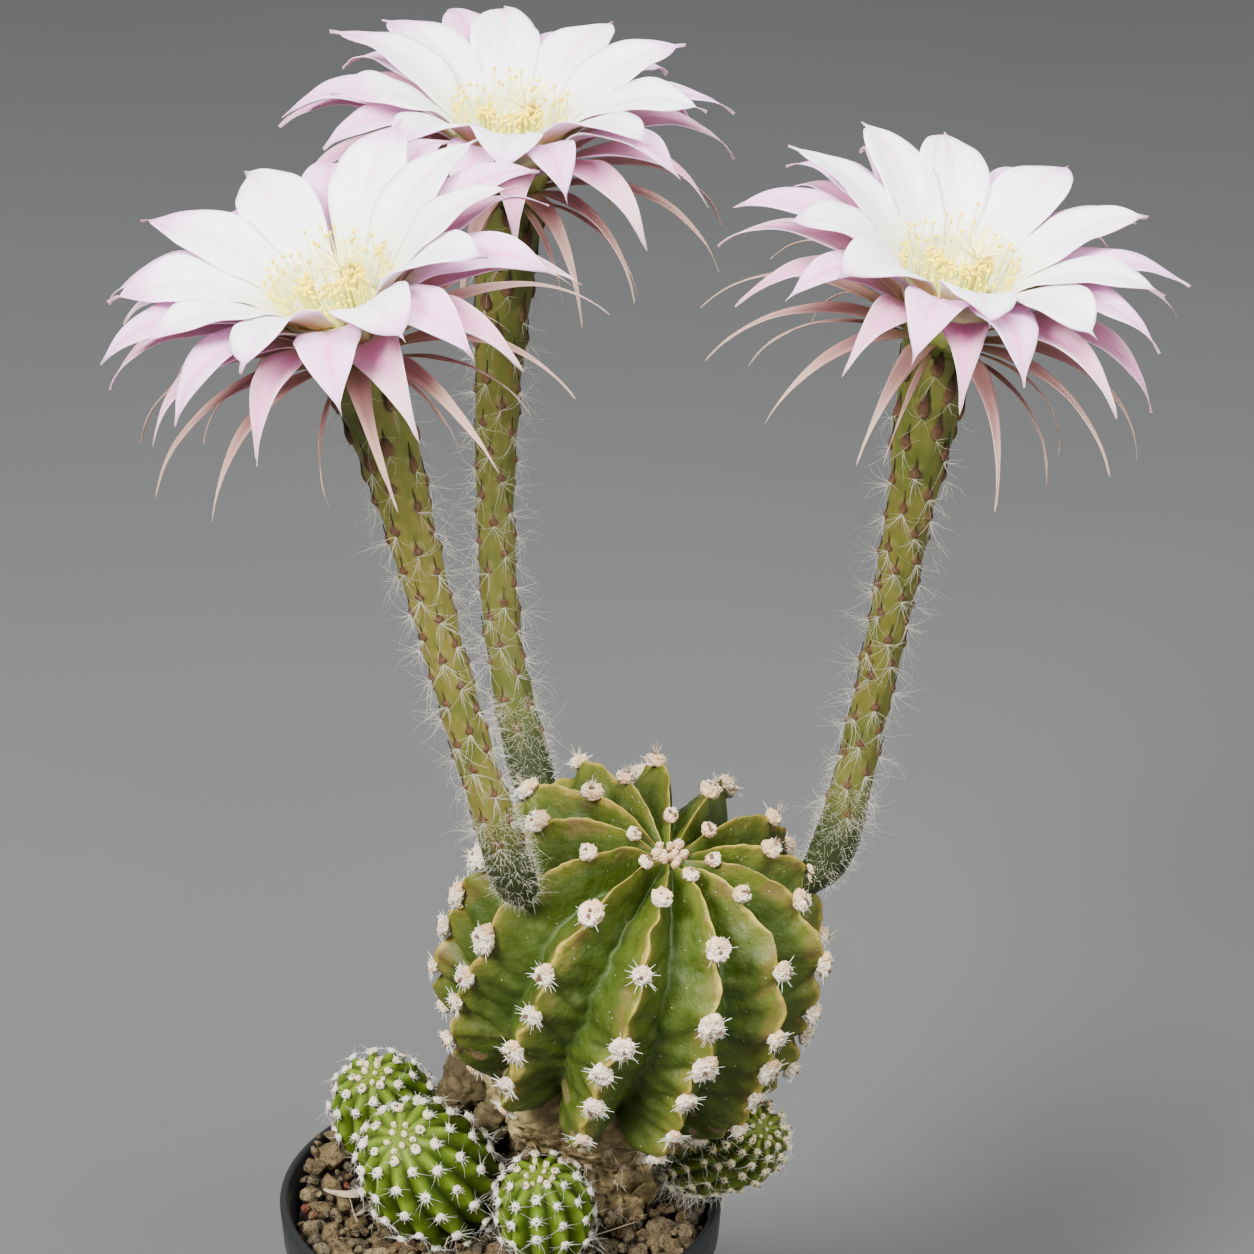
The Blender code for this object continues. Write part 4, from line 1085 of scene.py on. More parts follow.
def globe_skin(turn, angle):
    """A point of the globe's skin, turn round its axis and angle down from its tip."""
    above = angle < math.pi / 2
    half_height = GLOBE_TOP if above else GLOBE_BOTTOM
    power = TOP_SQUARENESS if above else BOTTOM_SQUARENESS
    across = math.sin(angle) / GLOBE_RADIUS
    upward = abs(math.cos(angle)) / half_height
    reach = (across ** power + upward ** power) ** (-1.0 / power)
    phase = (turn - FIRST_RIB_TURN) / math.tau * GLOBE_RIBS
    rib = round(phase)
    share = 2.0 * abs(phase - rib)
    groove = GLOBE_GROOVE * (1.0 + LOW_GROOVE * eased((angle - LOW_GROOVE_START) / LOW_GROOVE_SPAN))
    groove *= eased(angle / GROOVE_START) * eased((math.pi - angle) / GROOVE_FADE)
    reach *= 1.0 - groove * (1.0 - crest_shape(share, eased((angle - 1.65) / 0.7)))
    reach += crest_step(rib, angle, share) * eased((math.pi - angle) / 0.8)
    ring = reach * math.sin(angle)
    height = reach * math.cos(angle)
    if above:
        height -= GLOBE_DIMPLE * math.exp(-((ring / DIMPLE_WIDTH) ** 2))
    spot = Vector((2.2 * math.sin(turn), 2.2 * math.cos(turn), 4.0 * angle))
    turn += (0.050 * noise.noise(spot) + 0.036 * noise.noise(2.9 * spot)) * eased(angle / 0.5)
    local = Vector((ring * math.sin(turn), -ring * math.cos(turn), height))
    dents = 4.0 * share * (1.0 - share)
    wave = 0.7 * rough(local, 13.0)
    wave += dents * (rough(local, 9.0, 2.0) + 0.35 * rough(local, 3.6, 7.0))
    wave += 0.62 * rough(local, 2.4, 5.0) * math.exp(-((share / 0.15) ** 2))
    local += local.normalized() * wave * eased(angle / 0.3)
    side, back = basis(GLOBE_AXIS)
    return GLOBE_CENTRE + side * local.x + back * local.y + GLOBE_AXIS * local.z


def rib_columns():
    """Each column's turn and how far it is from its crest, crowded towards the crests."""
    half = COLUMNS_PER_RIB // 2
    columns = []
    for rib in range(GLOBE_RIBS):
        for step in range(-half, half):
            share = abs(step / half) ** CREST_CROWDING
            aside = math.copysign(0.5 * share, step)
            columns.append((FIRST_RIB_TURN + math.tau * (rib + aside) / GLOBE_RIBS, share))
    return columns


def make_globe():
    """The ribbed skin, marked by how far each corner is from a crest and how low it is."""
    columns = rib_columns()

    def place(u, v):
        turn, share = columns[round(u * len(columns))]
        return globe_skin(turn, math.pi * v), share, v

    pile = Pile("crest", "low")
    add_grid(pile, len(columns), GLOBE_ROWS, place, closed=True)
    dress(pile.joined("globe"), [globe_skin_green()], ["cactus_body"])


def crest_frame(rib, angle):
    """An areole's seat on its crest, with the directions along the side, down the rib and out of the skin."""
    turn = rib_turn(rib)
    root = globe_skin(turn, angle)
    down = (globe_skin(turn, angle + 0.09) - globe_skin(turn, max(angle - 0.09, 0.0))).normalized()
    out = (root - GLOBE_CENTRE).normalized()
    side = down.cross(out).normalized()
    return root, side, down, side.cross(down)


def add_wool(pile, subdivisions, seat, radii, draw, tan):
    """A lumpy pad of wool on a seat, flat on top and tan towards its upper side."""
    root, side, down, out = seat
    matrix = Matrix.Translation(root) @ Matrix((side, down, out)).transposed().to_4x4()
    seed = draw.uniform(0.0, 90.0)

    def shape(unit):
        lump = 1.0 + 0.26 * rough(unit, 0.55, seed) + 0.20 * rough(unit, 0.24, seed)
        lump += 0.10 * rough(unit, 0.13, seed) if subdivisions > 3 else 0.0
        flat = math.tanh(1.7 * unit.z) / math.tanh(1.7)
        return lump * Vector(radii) * Vector((unit.x, unit.y, flat + 0.3))

    add_ball(pile, subdivisions, matrix, shape, lambda unit: (tan - 0.40 * unit.y,))


def add_dots(dots, draw, seat, radii, count, size):
    """Small dark pits on top of a pad."""
    root, side, down, out = seat
    for _ in range(count):
        across, drop = draw.uniform(-0.5, 0.5), draw.uniform(-0.35, 0.5)
        spot = root + side * across * radii[0] + down * drop * radii[1] + out * radii[2] * 1.24
        dot = size * draw.uniform(0.75, 1.15)
        add_ball(dots, 2, Matrix.Translation(spot), lambda unit: dot * unit)


def fringe_hair(draw, seat, radii, turn, rise, lift, length, radius, waviness):
    """A straight spine from the edge of a pad, turned round it, rising out of it and standing up by lift."""
    root, side, down, out = seat
    radial = around(side, down, turn)
    start = root + radial * rise[0] * min(radii[0], radii[1]) + out * rise[1] * radii[2]
    return hair(draw, start, radial + out * lift, length, radius, waviness, steps=2)


def make_areoles():
    """The globe's woolly pads with dark pits and a fringe of short white spines, crowded at the tip."""
    draw = random.Random(SEED + 4)
    pads, dots = Pile("tint"), Pile()
    spines, young_spines = [], []
    for rib in range(GLOBE_RIBS):
        behind = math.cos(rib_turn(rib)) < -0.1
        for angle in GLOBE_AREOLES[rib]:
            seat = crest_frame(rib, angle)
            root, side, down, out = seat
            size = between(PAD_SIZES, angle) * draw.uniform(0.86, 1.12)
            radii = [size * part for part in PAD_RADII]
            radii[1] *= draw.uniform(0.85, 1.25)
            add_wool(pads, 4, seat, radii, draw, 0.16 + 0.62 * (1.0 - eased((angle - 0.2) / 1.0)))
            if draw.random() < 0.35 and angle > 0.4:
                above = (root - down * 0.7 * radii[1] + out * 0.4, side, down, out)
                add_wool(pads, 3, above, [0.66 * part for part in radii], draw, 0.9)
            add_dots(dots, draw, seat, radii, draw.choice((2, 2, 3, 3)) if angle > 0.2 else 1, 0.58)
            grown = eased((angle - 0.45) / 0.5)
            for _ in range(round(24 * (0.35 + 0.65 * grown))):
                turn, height, lift = any_turn(draw), draw.uniform(0.3, 1.2), draw.uniform(0.0, 1.0)
                length = draw.uniform(1.0, 1.9) * (0.6 + 0.4 * grown)
                spines.append(fringe_hair(draw, seat, radii, turn, (0.72, height), lift, length, 0.09, 0.10))
            count = round(15 * grown * draw.uniform(0.85, 1.1))
            for number in range(count):
                turn = math.pi * (0.5 + 0.90 * (2.0 * (number + draw.random()) / count - 1.0))
                lift, length = draw.uniform(0.0, 0.55), draw.uniform(2.0, 3.9)
                spines.append(fringe_hair(draw, seat, radii, turn, (0.7, 0.4), lift, length, 0.135, 0.05))
            for _ in range(8 if behind and 0.4 < angle < 1.5 else 0):
                way, length = out + 0.55 * any_way(draw), draw.uniform(2.4, 4.4)
                young_spines.append(hair(draw, root + out * radii[2], way, length, 0.13, 0.05, steps=2))
    side, back = basis(GLOBE_AXIS)
    for number in range(APEX_PADS):
        turn, reach = number * GOLDEN_TURN, APEX_REACH * math.sqrt((number + 0.4) / APEX_PADS)
        seat = (globe_skin(turn, reach / GLOBE_TOP), side, back, GLOBE_AXIS)
        size = 0.95 + 0.5 * reach / APEX_REACH * draw.random()
        radii = (size, size, 1.3 * size)
        add_wool(pads, 3, seat, radii, draw, 0.85)
        add_dots(dots, draw, seat, radii, number % 2, 0.3)
    cream = wool("globe_wool", (0.86, 0.75, 0.57), (0.74, 0.47, 0.22))
    dress(pads.joined("globe_wool"), [cream])
    dress(dots.joined("globe_dots"), [areole_dot()])
    dress(strand_object("globe_spines", spines), [spine_white()])
    dress(strand_object("globe_young_spines", young_spines), [spine_tan()])


TRUNK_FRAMES = line_frames(TRUNK_LINE, TRUNK_ROWS)


def trunk_skin(turn, row):
    """A point of the trunk's cork and the way out of it, with upright folds and a swelling on its left."""
    here, side, across, _ = TRUNK_FRAMES[row]
    share = row / TRUNK_ROWS
    out = around(side, across, turn)
    radius = softly(TRUNK_RADII, share, 0.05) + 2.5 * (1.0 - eased(share / 0.4))
    left = max(-math.cos(turn), 0.0) ** 1.5
    radius += 9.0 * left * eased((share - 0.08) / 0.2) * (1.0 - eased((share - 0.38) / 0.24))
    point = here + radius * out
    folds = (1.0 - abs(rough((5.0 * turn, 0.0, 0.06 * point.z), 1.0))) ** 3
    arcs = (1.0 - abs(rough(point + up(3.0 * rough(point, 9.0)), 5.0, 6.0))) ** 6
    crust = 2.3 * rough(point, 7.0) + 1.3 * (1.0 - 2.0 * abs(rough(point, 3.2, 4.0)))
    crust += 0.5 * rough(point, 1.2)
    return point + out * (1.6 * folds * eased(share / 0.3) - 1.3 * arcs + crust), out


def cork_lump(unit, centre, radius):
    """A point of a lump of cork, folded and creased."""
    point = Vector(centre) + radius * unit
    creases = (1.0 - abs(rough(point, 9.0, 3.0))) ** 4 + 0.6 * (1.0 - abs(rough(point, 4.0, 5.0))) ** 5
    swell = 1.08 + 0.34 * rough(point, 11.0) + 0.12 * rough(point, 3.0, 1.0) + 0.07 * rough(point, 1.2)
    return radius * (swell - 0.20 * creases) * Vector((unit.x, unit.y, 1.2 * unit.z))


def make_trunk():
    """The corky trunk under the globe, folded and flaking, with its old spine clusters."""
    # Painted light: the trunk's cork is brightened to make up for the shadow of the globe above it.
    cork = bark("bark", 1.40)
    pile, lumps = Pile(), Pile()
    add_grid(pile, TRUNK_SIDES, TRUNK_ROWS,
             lambda u, v: trunk_skin(math.tau * u, round(v * TRUNK_ROWS))[:1], closed=True)
    dress(pile.joined("trunk"), [cork], ["cactus_body"])
    for centre, radius in CORK_LUMPS:
        add_ball(lumps, 5, Matrix.Translation(centre), lambda unit: cork_lump(unit, centre, radius))
    # Painted shade: the lumps take a darker copy of the same cork.
    dress(lumps.joined("trunk_lumps"), [bark("bark_lumps", 0.48)], ["cactus_body"])
    draw = random.Random(SEED + 6)
    spines = []
    tufts, flakes = Pile("tint"), Pile()
    for _ in range(44):
        turn, row = any_turn(draw), draw.randint(TRUNK_ROWS // 5, TRUNK_ROWS * 5 // 6)
        root, out = trunk_skin(turn, row)
        add_wool(tufts, 3, (root, *basis(out), out), (1.2, 1.2, 0.8), draw, 1.0)
        for _ in range(10):
            way = out + 1.1 * any_way(draw)
            spines.append(hair(draw, root, way, draw.uniform(2.5, 5.5), 0.11, 0.16, 0.05, 3))
    for _ in range(110):
        turn, row = any_turn(draw), draw.randint(TRUNK_ROWS // 6, TRUNK_ROWS * 9 // 10)
        root, out = trunk_skin(turn, row)
        matrix = upright(out + 0.5 * any_way(draw), root)
        size, curl = draw.uniform(1.0, 2.6), draw.uniform(0.2, 0.5)

        def flake(u, v):
            x, y = 2.0 * u - 1.0, 2.0 * v - 1.0
            fall = math.sqrt(max(1.0 - 0.8 * x * x, 0.05))
            return (matrix @ Vector((size * x, size * y * fall, curl * size * (y + 0.4) ** 2)),)

        add_grid(flakes, 5, 4, flake)
    dull = wool("trunk_wool", (0.56, 0.46, 0.34), (0.40, 0.29, 0.18))
    dress(solidify(flakes.joined("trunk_flakes"), 0.25), [cork])
    dress(tufts.joined("trunk_wool"), [dull])
    dress(strand_object("trunk_spines", spines), [spine_tan()])


# Pups


def pup_arc(pup):
    """The length of a rib from the tip to the base."""
    length = sum((Vector(end) - Vector(start)).length for start, end in zip(pup["line"], pup["line"][1:]))
    return math.pi * math.sqrt(0.5 * ((0.5 * length) ** 2 + pup["radius"] ** 2))


def pup_skin(pup, areoles, turn, share, frame):
    """A point of a pup's skin and the way out of it, turned round its frame, a share of the way up it."""
    angle = math.pi * share
    phase = turn / math.tau * pup["ribs"]
    rib = round(phase)
    flank = 2.0 * abs(phase - rib)
    fall = math.hypot(flank, PUP_CREST_ROUND) - PUP_CREST_ROUND
    fall /= math.hypot(1.0, PUP_CREST_ROUND) - PUP_CREST_ROUND
    groove = PUP_GROOVE * math.sin(angle) ** 0.2 * fall
    ring = pup["radius"] * math.sin(angle) ** PUP_FULLNESS * (1.0 - groove)
    here, side, across, along = frame
    out = around(side, across, turn)
    point = here + ring * out
    out = (out * math.sin(angle) ** 0.6 - along * math.cos(angle)).normalized()
    near = pup_arc(pup) * min(abs(share - spot) for spot in areoles[rib % pup["ribs"]])
    swell = PUP_SWELL * math.exp(-((near / PUP_SWELL_REACH) ** 2)) * (1.0 - flank) ** 1.4
    return point + out * (swell + 0.35 * rough(point, 6.0)), out


def pup_areole_shares(pup, rib):
    """Where a rib's areoles sit, from near the tip down, in a spiral from rib to rib."""
    step = pup["spacing"] / pup_arc(pup)
    first = PUP_FIRST_AREOLE - step * (rib * (pup["ribs"] // 2) / pup["ribs"] % 1.0)
    return [first - step * number for number in range(int((first - PUP_LAST_AREOLE) / step) + 1)]


def make_pup(name, pup, greens, brown):
    """A pup: its ribbed skin, woolly areoles that crowd round its tip, short spines and web-like hairs."""
    name = "pup_" + name
    areoles = [pup_areole_shares(pup, rib) for rib in range(pup["ribs"])]

    def frame(share):
        return frame_at(pup["line"], 0.5 - 0.5 * math.cos(math.pi * share))

    rows = [frame(row / PUP_ROWS) for row in range(PUP_ROWS + 1)]
    columns = pup["ribs"] * PUP_COLUMNS_PER_RIB

    def place(u, v):
        phase = round(u * columns) % PUP_COLUMNS_PER_RIB / PUP_COLUMNS_PER_RIB
        point, _ = pup_skin(pup, areoles, math.tau * u, v, rows[round(v * PUP_ROWS)])
        return point, 2.0 * min(phase, 1.0 - phase), 1.0 - v

    def seat_at(turn, share):
        root, out = pup_skin(pup, areoles, turn, share, frame(share))
        behind, _ = pup_skin(pup, areoles, turn, share - 0.02, frame(share - 0.02))
        side = (behind - root).normalized().cross(out).normalized()
        return root, side, out.cross(side), out

    pile = Pile("crest", "low")
    add_grid(pile, columns, PUP_ROWS, place, closed=True)
    dress(pile.joined(name + "_skin"), [greens], [name])
    draw = random.Random(SEED + 16 + len(name))
    pads, dots = Pile("tint"), Pile()
    spines, hairs = [], []
    for rib, shares in enumerate(areoles):
        for share in shares:
            seat = seat_at(math.tau * rib / pup["ribs"], share)
            root, side, down, out = seat
            young = eased((share - 0.80) / 0.12)
            size = pup["pad"] * draw.uniform(0.85, 1.12) * (1.0 - 0.10 * young)
            radii = (size, (1.0 + 0.15 * young) * size, 0.62 * size)
            add_wool(pads, 2, seat, radii, draw, brown + 0.7 * young)
            if share > 0.5 or draw.random() < 0.5:
                add_dots(dots, draw, seat, radii, draw.choice((1, 1, 2)), 0.30)
            for number in range(round(11 * (1.0 - 0.7 * young))):
                turn, lift = math.tau * (number + draw.random()) / 11, draw.uniform(0.0, 0.7)
                length = size * draw.uniform(0.7, 1.5)
                spines.append(fringe_hair(draw, seat, (size, size, size), turn, (0.6, 0.3), lift, length,
                                          0.10, 0.08))
            old = 1.0 - eased((share - 0.28) / 0.35)
            for _ in range(round((3 + 13 * old) * (1.0 - young) * draw.uniform(0.6, 1.2))):
                way = side * draw.choice((-1.0, 1.0)) + down * draw.uniform(-0.9, 1.0)
                way += out * draw.uniform(0.1, 0.7)
                length = draw.uniform(3.5, 6.5) + 3.0 * old * draw.random()
                hairs.append(hair(draw, root, way, length, 0.045, 0.12 + 0.16 * old, 0.02))
    for number in range(PUP_TIP_PADS):
        reach = PUP_TIP_REACH * math.sqrt((number + 0.2) / PUP_TIP_PADS)
        seat = seat_at(number * GOLDEN_TURN, 1.0 - reach / pup_arc(pup))
        size = pup["pad"] * draw.uniform(0.50, 0.78)
        radii = (size, size, 1.3 * size)
        add_wool(pads, 2, seat, radii, draw, brown + 0.8)
        add_dots(dots, draw, seat, radii, number % 2, 0.2)
    white = (0.86, 0.82, 0.74) if brown < 0.5 else (0.62, 0.51, 0.36)
    web = hair_white(name + "_web", (0.60, 0.57, 0.46), (0.86, 0.84, 0.76))
    dress(pads.joined(name + "_wool"), [wool(name + "_wool", white, (0.80, 0.70, 0.36))])
    dress(dots.joined(name + "_dots"), [areole_dot()])
    dress(strand_object(name + "_spines", spines), [spine_white()])
    dress(strand_object(name + "_hairs", hairs), [web])


# Flowers


def tube_line(flower):
    """The centre line of a floral tube, from just inside the areole that it grows from."""
    rib, angle = flower["areole"]
    base = globe_skin(rib_turn(rib), math.radians(angle))
    inward = (GLOBE_CENTRE - base).normalized()
    return (base + TUBE_SINK * inward, *(Vector(point) for point in flower["line"]))


def tube_frame(flower, line, share):
    """A tube's centre and its three directions, turning towards the bloom's own axis under the bloom."""
    here, _, _, along = frame_at(line, share)
    facing = Vector(flower["facing"]).normalized()
    along = along.lerp(facing, eased((share - TUBE_TURNS_FROM) / (1.0 - TUBE_TURNS_FROM))).normalized()
    return here, *basis(along), along


def scale_spots(flower_name):
    """Each scale's turn round the tube and share up it: an even spiral, a little jittered."""
    draw = random.Random(SEED + 30 + len(flower_name))
    low, high = SCALE_SHARES
    spots = []
    for number in range(SCALES):
        turn = number * GOLDEN_TURN + draw.uniform(-0.16, 0.16)
        share = low + (high - low) * (number + draw.uniform(-0.5, 0.5)) / (SCALES - 1)
        spots.append((turn % math.tau, share))
    return spots


def scale_nearness(turn, share, spots):
    """How high a ridge stands at a point of the tube, and how stained it is, from the scales above it."""
    ridge = stain = 0.0
    for scale_turn, scale_share in spots:
        below = scale_share - share
        if -0.02 < below < RIDGE_LENGTH:
            aside = (turn - scale_turn + math.pi) % math.tau - math.pi
            height = math.exp(-((aside / 0.36) ** 2)) * (1.0 - eased(-below / 0.02))
            ridge = max(ridge, height * (1.0 - max(below, 0.0) / RIDGE_LENGTH) ** 1.3)
            stain = max(stain, math.exp(-((aside / 0.24) ** 2) - (below / 0.009) ** 2))
    return ridge, stain


def tube_radius(turn, share, spots):
    """The tube's radius, with a ridge that swells up to each scale, and the ridge's height and stain."""
    ridge, stain = scale_nearness(turn, share, spots)
    depth = RIDGE_HEIGHT * eased((share - 0.12) / 0.1) * (0.75 + 0.8 * share)
    return softly(TUBE_RADII, share, 0.02) + depth * (ridge - 0.35), ridge, stain


def nearby(spots, share):
    """The scales whose ridges reach a share of the tube."""
    return [spot for spot in spots if -0.03 < spot[1] - share < RIDGE_LENGTH + 0.01]


def make_tube(flower_name, finishes):
    """A floral tube with its swollen foot, its brown scales in a spiral, and white hairs at every scale."""
    flower = FLOWERS[flower_name]
    line = tube_line(flower)
    spots = scale_spots(flower_name)
    name = "flower_" + flower_name + "_tube"
    rows = [(tube_frame(flower, line, row / TUBE_ROWS), nearby(spots, row / TUBE_ROWS))
            for row in range(TUBE_ROWS + 1)]

    def place(u, v):
        (here, side, across, _), near = rows[round(v * TUBE_ROWS)]
        radius, ridge, stain = tube_radius(math.tau * u, v, near)
        return here + radius * around(side, across, math.tau * u), v, stain * eased((v - 0.15) / 0.05), ridge

    def seat_at(turn, share):
        here, side, across, along = tube_frame(flower, line, share)
        out = around(side, across, turn)
        return here + out * tube_radius(turn, share, nearby(spots, share))[0], out, along.cross(out), along

    pile = Pile("along", "stain", "ridge")
    add_grid(pile, TUBE_SIDES, TUBE_ROWS, place, closed=True)
    dress(pile.joined(name + "_skin"), [finishes["tube"]], [name])
    draw = random.Random(SEED + 40 + len(flower_name))
    scales = Pile("along")
    hairs = []
    for turn, share in spots:
        root, out, beside, along = seat_at(turn, share)
        high = eased((share - 0.66) / 0.30)
        length = draw.uniform(4.6, 6.6) + 5.0 * high
        half = draw.uniform(1.1, 1.5) + 0.35 * high
        lean, skew = draw.uniform(-0.02, 0.10), draw.uniform(-0.25, 0.25)

        def scale(u, v):
            aside = 2.0 * u - 1.0
            tail = (0.26 + 0.20 * high) * (1.0 - v) ** 0.9 * min(v / 0.06, 1.0)
            swollen = math.exp(-(((v - 0.22 - 0.06 * high) / (0.17 + 0.13 * high)) ** 2))
            bulge = half * (1.0 - aside * aside) * (0.42 * swollen + 0.2 * tail)
            rise = length * v
            point = root + along * (rise - 0.28 * length) + beside * half * (aside * (tail + 0.74 * swollen))
            point += beside * skew * v * v * length * 0.3
            return point + out * (bulge + lean * rise - 0.2), v

        add_grid(scales, 6, 12, scale)
        fewer = 1.0 - 0.75 * eased((share - 0.68) / 0.25)
        axil = root - along * 0.25 * length
        above_bulb = eased((share - 0.16) / 0.10)
        for _ in range(round(3 * fewer * above_bulb * draw.uniform(0.6, 1.4))):
            way = out * draw.uniform(0.1, 0.5) + beside * draw.uniform(-0.9, 0.9) - along
            hairs.append(hair(draw, axil, way, draw.uniform(4.5, 12.0), 0.042, 0.20, steps=7))
        for _ in range(round(9 * fewer) + 1):
            way = out * draw.uniform(0.5, 1.3) + beside * draw.uniform(-1.3, 1.3)
            way += along * draw.uniform(-1.0, 0.6)
            hairs.append(hair(draw, axil, way, draw.uniform(3.0, 11.0), 0.040, 0.36, 0.04, 6))
    for number in range(BULB_HAIRS):
        share = BULB_TOP * draw.random() ** 0.8 + 0.012
        root, out, _, _ = seat_at(any_turn(draw), share)
        spread, shortest, longest, waviness, steps = LONG_FUR if number % 4 == 0 else SHORT_FUR
        way, length = out + spread * any_way(draw), draw.uniform(shortest, longest)
        hairs.append(hair(draw, root - out * 0.1, way, length, 0.030, waviness, steps=steps))
    dress(solidify(scales.joined(name + "_scales"), 0.3), [finishes["scale"]])
    dress(strand_object(name + "_hairs", hairs), [finishes["hair"]])


def petal_profile(length, root, pitch, droop):
    """The side view of a petal's midrib as (radius, height, pitch) stations, from root to tip."""
    radius, height = root
    stations = []
    stride = length / PETAL_STEPS
    for step in range(PETAL_STEPS + 1):
        share = step / PETAL_STEPS
        angle = pitch[0] + (pitch[1] - pitch[0]) * share ** PETAL_BEND
        angle = math.radians(angle - droop * eased((share - 0.55) / 0.45))
        stations.append((radius, height, angle))
        radius += stride * math.cos(angle)
        height += stride * math.sin(angle)
    return stations


def petal_half_width(whorl, share):
    """Half the width at a share of the length: a narrow claw, the widest part, then an end with a cusp."""
    claw, widest, cusp = whorl["claw"], whorl["widest"], whorl["cusp"]
    if share < widest:
        return whorl["half_width"] * (claw + (1.0 - claw) * eased(share / widest))
    fall = min((share - widest) / (1.0 - cusp - widest), 1.0)
    bow, taper = whorl["end"]
    blade = (1.0 - fall ** bow) ** taper
    needle = CUSP_WIDTH * min((1.0 - share) / (1.5 * cusp), 1.0)
    return whorl["half_width"] * math.hypot(blade, needle)


def whorl_draws(name, flower):
    """Each petal of a whorl: where it stands, its length and its pitches, drawn once for each flower."""
    whorl = WHORLS[name]
    names = list(WHORLS)
    draw = random.Random(100 * SEED + 10 * names.index(name) + list(FLOWERS).index(flower))
    offset = FLOWERS[flower]["turn"] + 0.5 * (names.index(name) % 2)
    petals = []
    for number in range(whorl["count"]):
        turn = math.tau * (number + offset) / whorl["count"] + draw.uniform(-1, 1) * TURN_JITTER
        length = whorl["length"] * (1.0 + draw.uniform(-1, 1) * LENGTH_JITTER)
        shift = draw.uniform(-1, 1) * PITCH_JITTER
        bend = draw.uniform(-1, 1) * PITCH_JITTER
        front = max(math.cos(turn), 0.0)
        pitch = (whorl["pitch"][0] + 0.4 * shift - whorl["open"][0] * front,
                 whorl["pitch"][1] + shift + bend - whorl["open"][1] * front)
        petals.append((turn, length, pitch))
    return petals


def thin_tips(obj):
    """Thins a whorl's wall towards the petals' cusps."""
    group = obj.vertex_groups.new(name="wall")
    for index, mark in enumerate(obj.data.attributes["along"].data):
        group.add([index], 1.0 - 0.85 * eased((mark.value - 0.84) / 0.12), "REPLACE")
    obj.modifiers["wall"].vertex_group = group.name


def bloom_way(turn):
    """The way out of a bloom at a turn from the side that faces -Y."""
    return Vector((math.sin(turn), -math.cos(turn), 0.0))


def add_blade(pile, whorl, draw, matrix, turn, stations, width_share=1.0):
    """One petal: a dished blade with a soft fold along its middle, waved edges and a little twist."""
    tint, phase = draw.random(), any_turn(draw)
    twist, lean = draw.uniform(-0.20, 0.20), draw.uniform(-0.09, 0.09)
    ripple = whorl["half_width"] * draw.uniform(0.035, 0.085)
    out, side = bloom_way(turn), bloom_way(turn + 0.5 * math.pi)

    def place(u, v):
        share = 1.0 - (1.0 - v) ** 1.5
        across = 2.0 * u - 1.0
        reach = share * (len(stations) - 1)
        index = min(int(reach), len(stations) - 2)
        ends = zip(stations[index], stations[index + 1])
        radius, height, angle = (low + (high - low) * (reach - index) for low, high in ends)
        half = width_share * petal_half_width(whorl, share)
        dish = whorl["dish"] * across * across * (1.0 - 0.7 * eased((share - 0.6) / 0.4))
        fold = 0.07 * math.exp(-((across / 0.12) ** 2))
        channels = 0.026 * math.cos(3.0 * math.pi * across + 2.0 * rough((across, share, phase), 0.5))
        rise = half * (dish - fold + channels + across * math.sin(twist * eased(share)))
        wave = math.sin(9.0 * share + phase + 2.0 * across) + 0.5 * math.sin(21.0 * share + 2.0 * phase)
        rise += ripple * abs(across) ** 3 * wave * eased(share / 0.4)
        notch = 1.0 + 0.045 * rough((11.0 * share, 3.0 * phase, across), 1.0) * eased((share - 0.4) / 0.3)
        aside = across * half * notch + 0.5 * lean * whorl["length"] * share ** 2
        point = out * (radius - rise * math.sin(angle)) + side * aside + up(height + rise * math.cos(angle))
        return matrix @ point, across, share, tint

    add_grid(pile, PETAL_COLUMNS, PETAL_ROWS, place)


def add_whorl(pile, whorl_name, flower_name, matrix):
    """The petals of one whorl. The sepals' has some thread-like ones too, between the others."""
    whorl = WHORLS[whorl_name]
    draw = random.Random(500 + 10 * list(WHORLS).index(whorl_name) + list(FLOWERS).index(flower_name))
    for turn, length, pitch in whorl_draws(whorl_name, flower_name):
        stations = petal_profile(length, whorl["root"], pitch, whorl["droop"])
        add_blade(pile, whorl, draw, matrix, turn, stations)
    if whorl_name == "sepal":
        for number in range(THREADS):
            turn = math.tau * (number + draw.random()) / THREADS
            pitch = (whorl["pitch"][0] - 16.0, whorl["pitch"][1] - draw.uniform(0.0, 20.0))
            stations = petal_profile(draw.uniform(30.0, 44.0), (9.0, 0.2), pitch, whorl["droop"])
            add_blade(pile, whorl, draw, matrix, turn, stations, draw.uniform(0.22, 0.36))


def make_bloom(flower_name, finishes):
    """The whorls from the outside in, the throat, the stamens and the pistil."""
    flower = FLOWERS[flower_name]
    name = "flower_" + flower_name
    matrix = upright(flower["facing"], flower["line"][-1])
    for whorl_name, (ending, slot, node) in WHORL_PIECES.items():
        pile = Pile("across", "along", "tint")
        add_whorl(pile, whorl_name, flower_name, matrix)
        blades = pile.joined(name + ending + "_blades")
        thin_tips(solidify(blades, PETAL_WALL, under_material=True))
        dress(blades, finishes[whorl_name], [name + node])
    bm = lathe(THROAT, 48)
    marks = bm.verts.layers.float.new("along")
    for vert in bm.verts:
        vert[marks] = vert.co.z / MM / THROAT_TOP
        vert.co = MM * (matrix @ (vert.co / MM))
    dress(new_object(name + "_throat", bm), [finishes["throat"]])
    make_stamens(name + "_stamens", random.Random(SEED + 60 + len(flower_name)), matrix, finishes)
    make_pistil(name + "_pistil", random.Random(SEED + 70 + len(flower_name)), matrix, finishes)


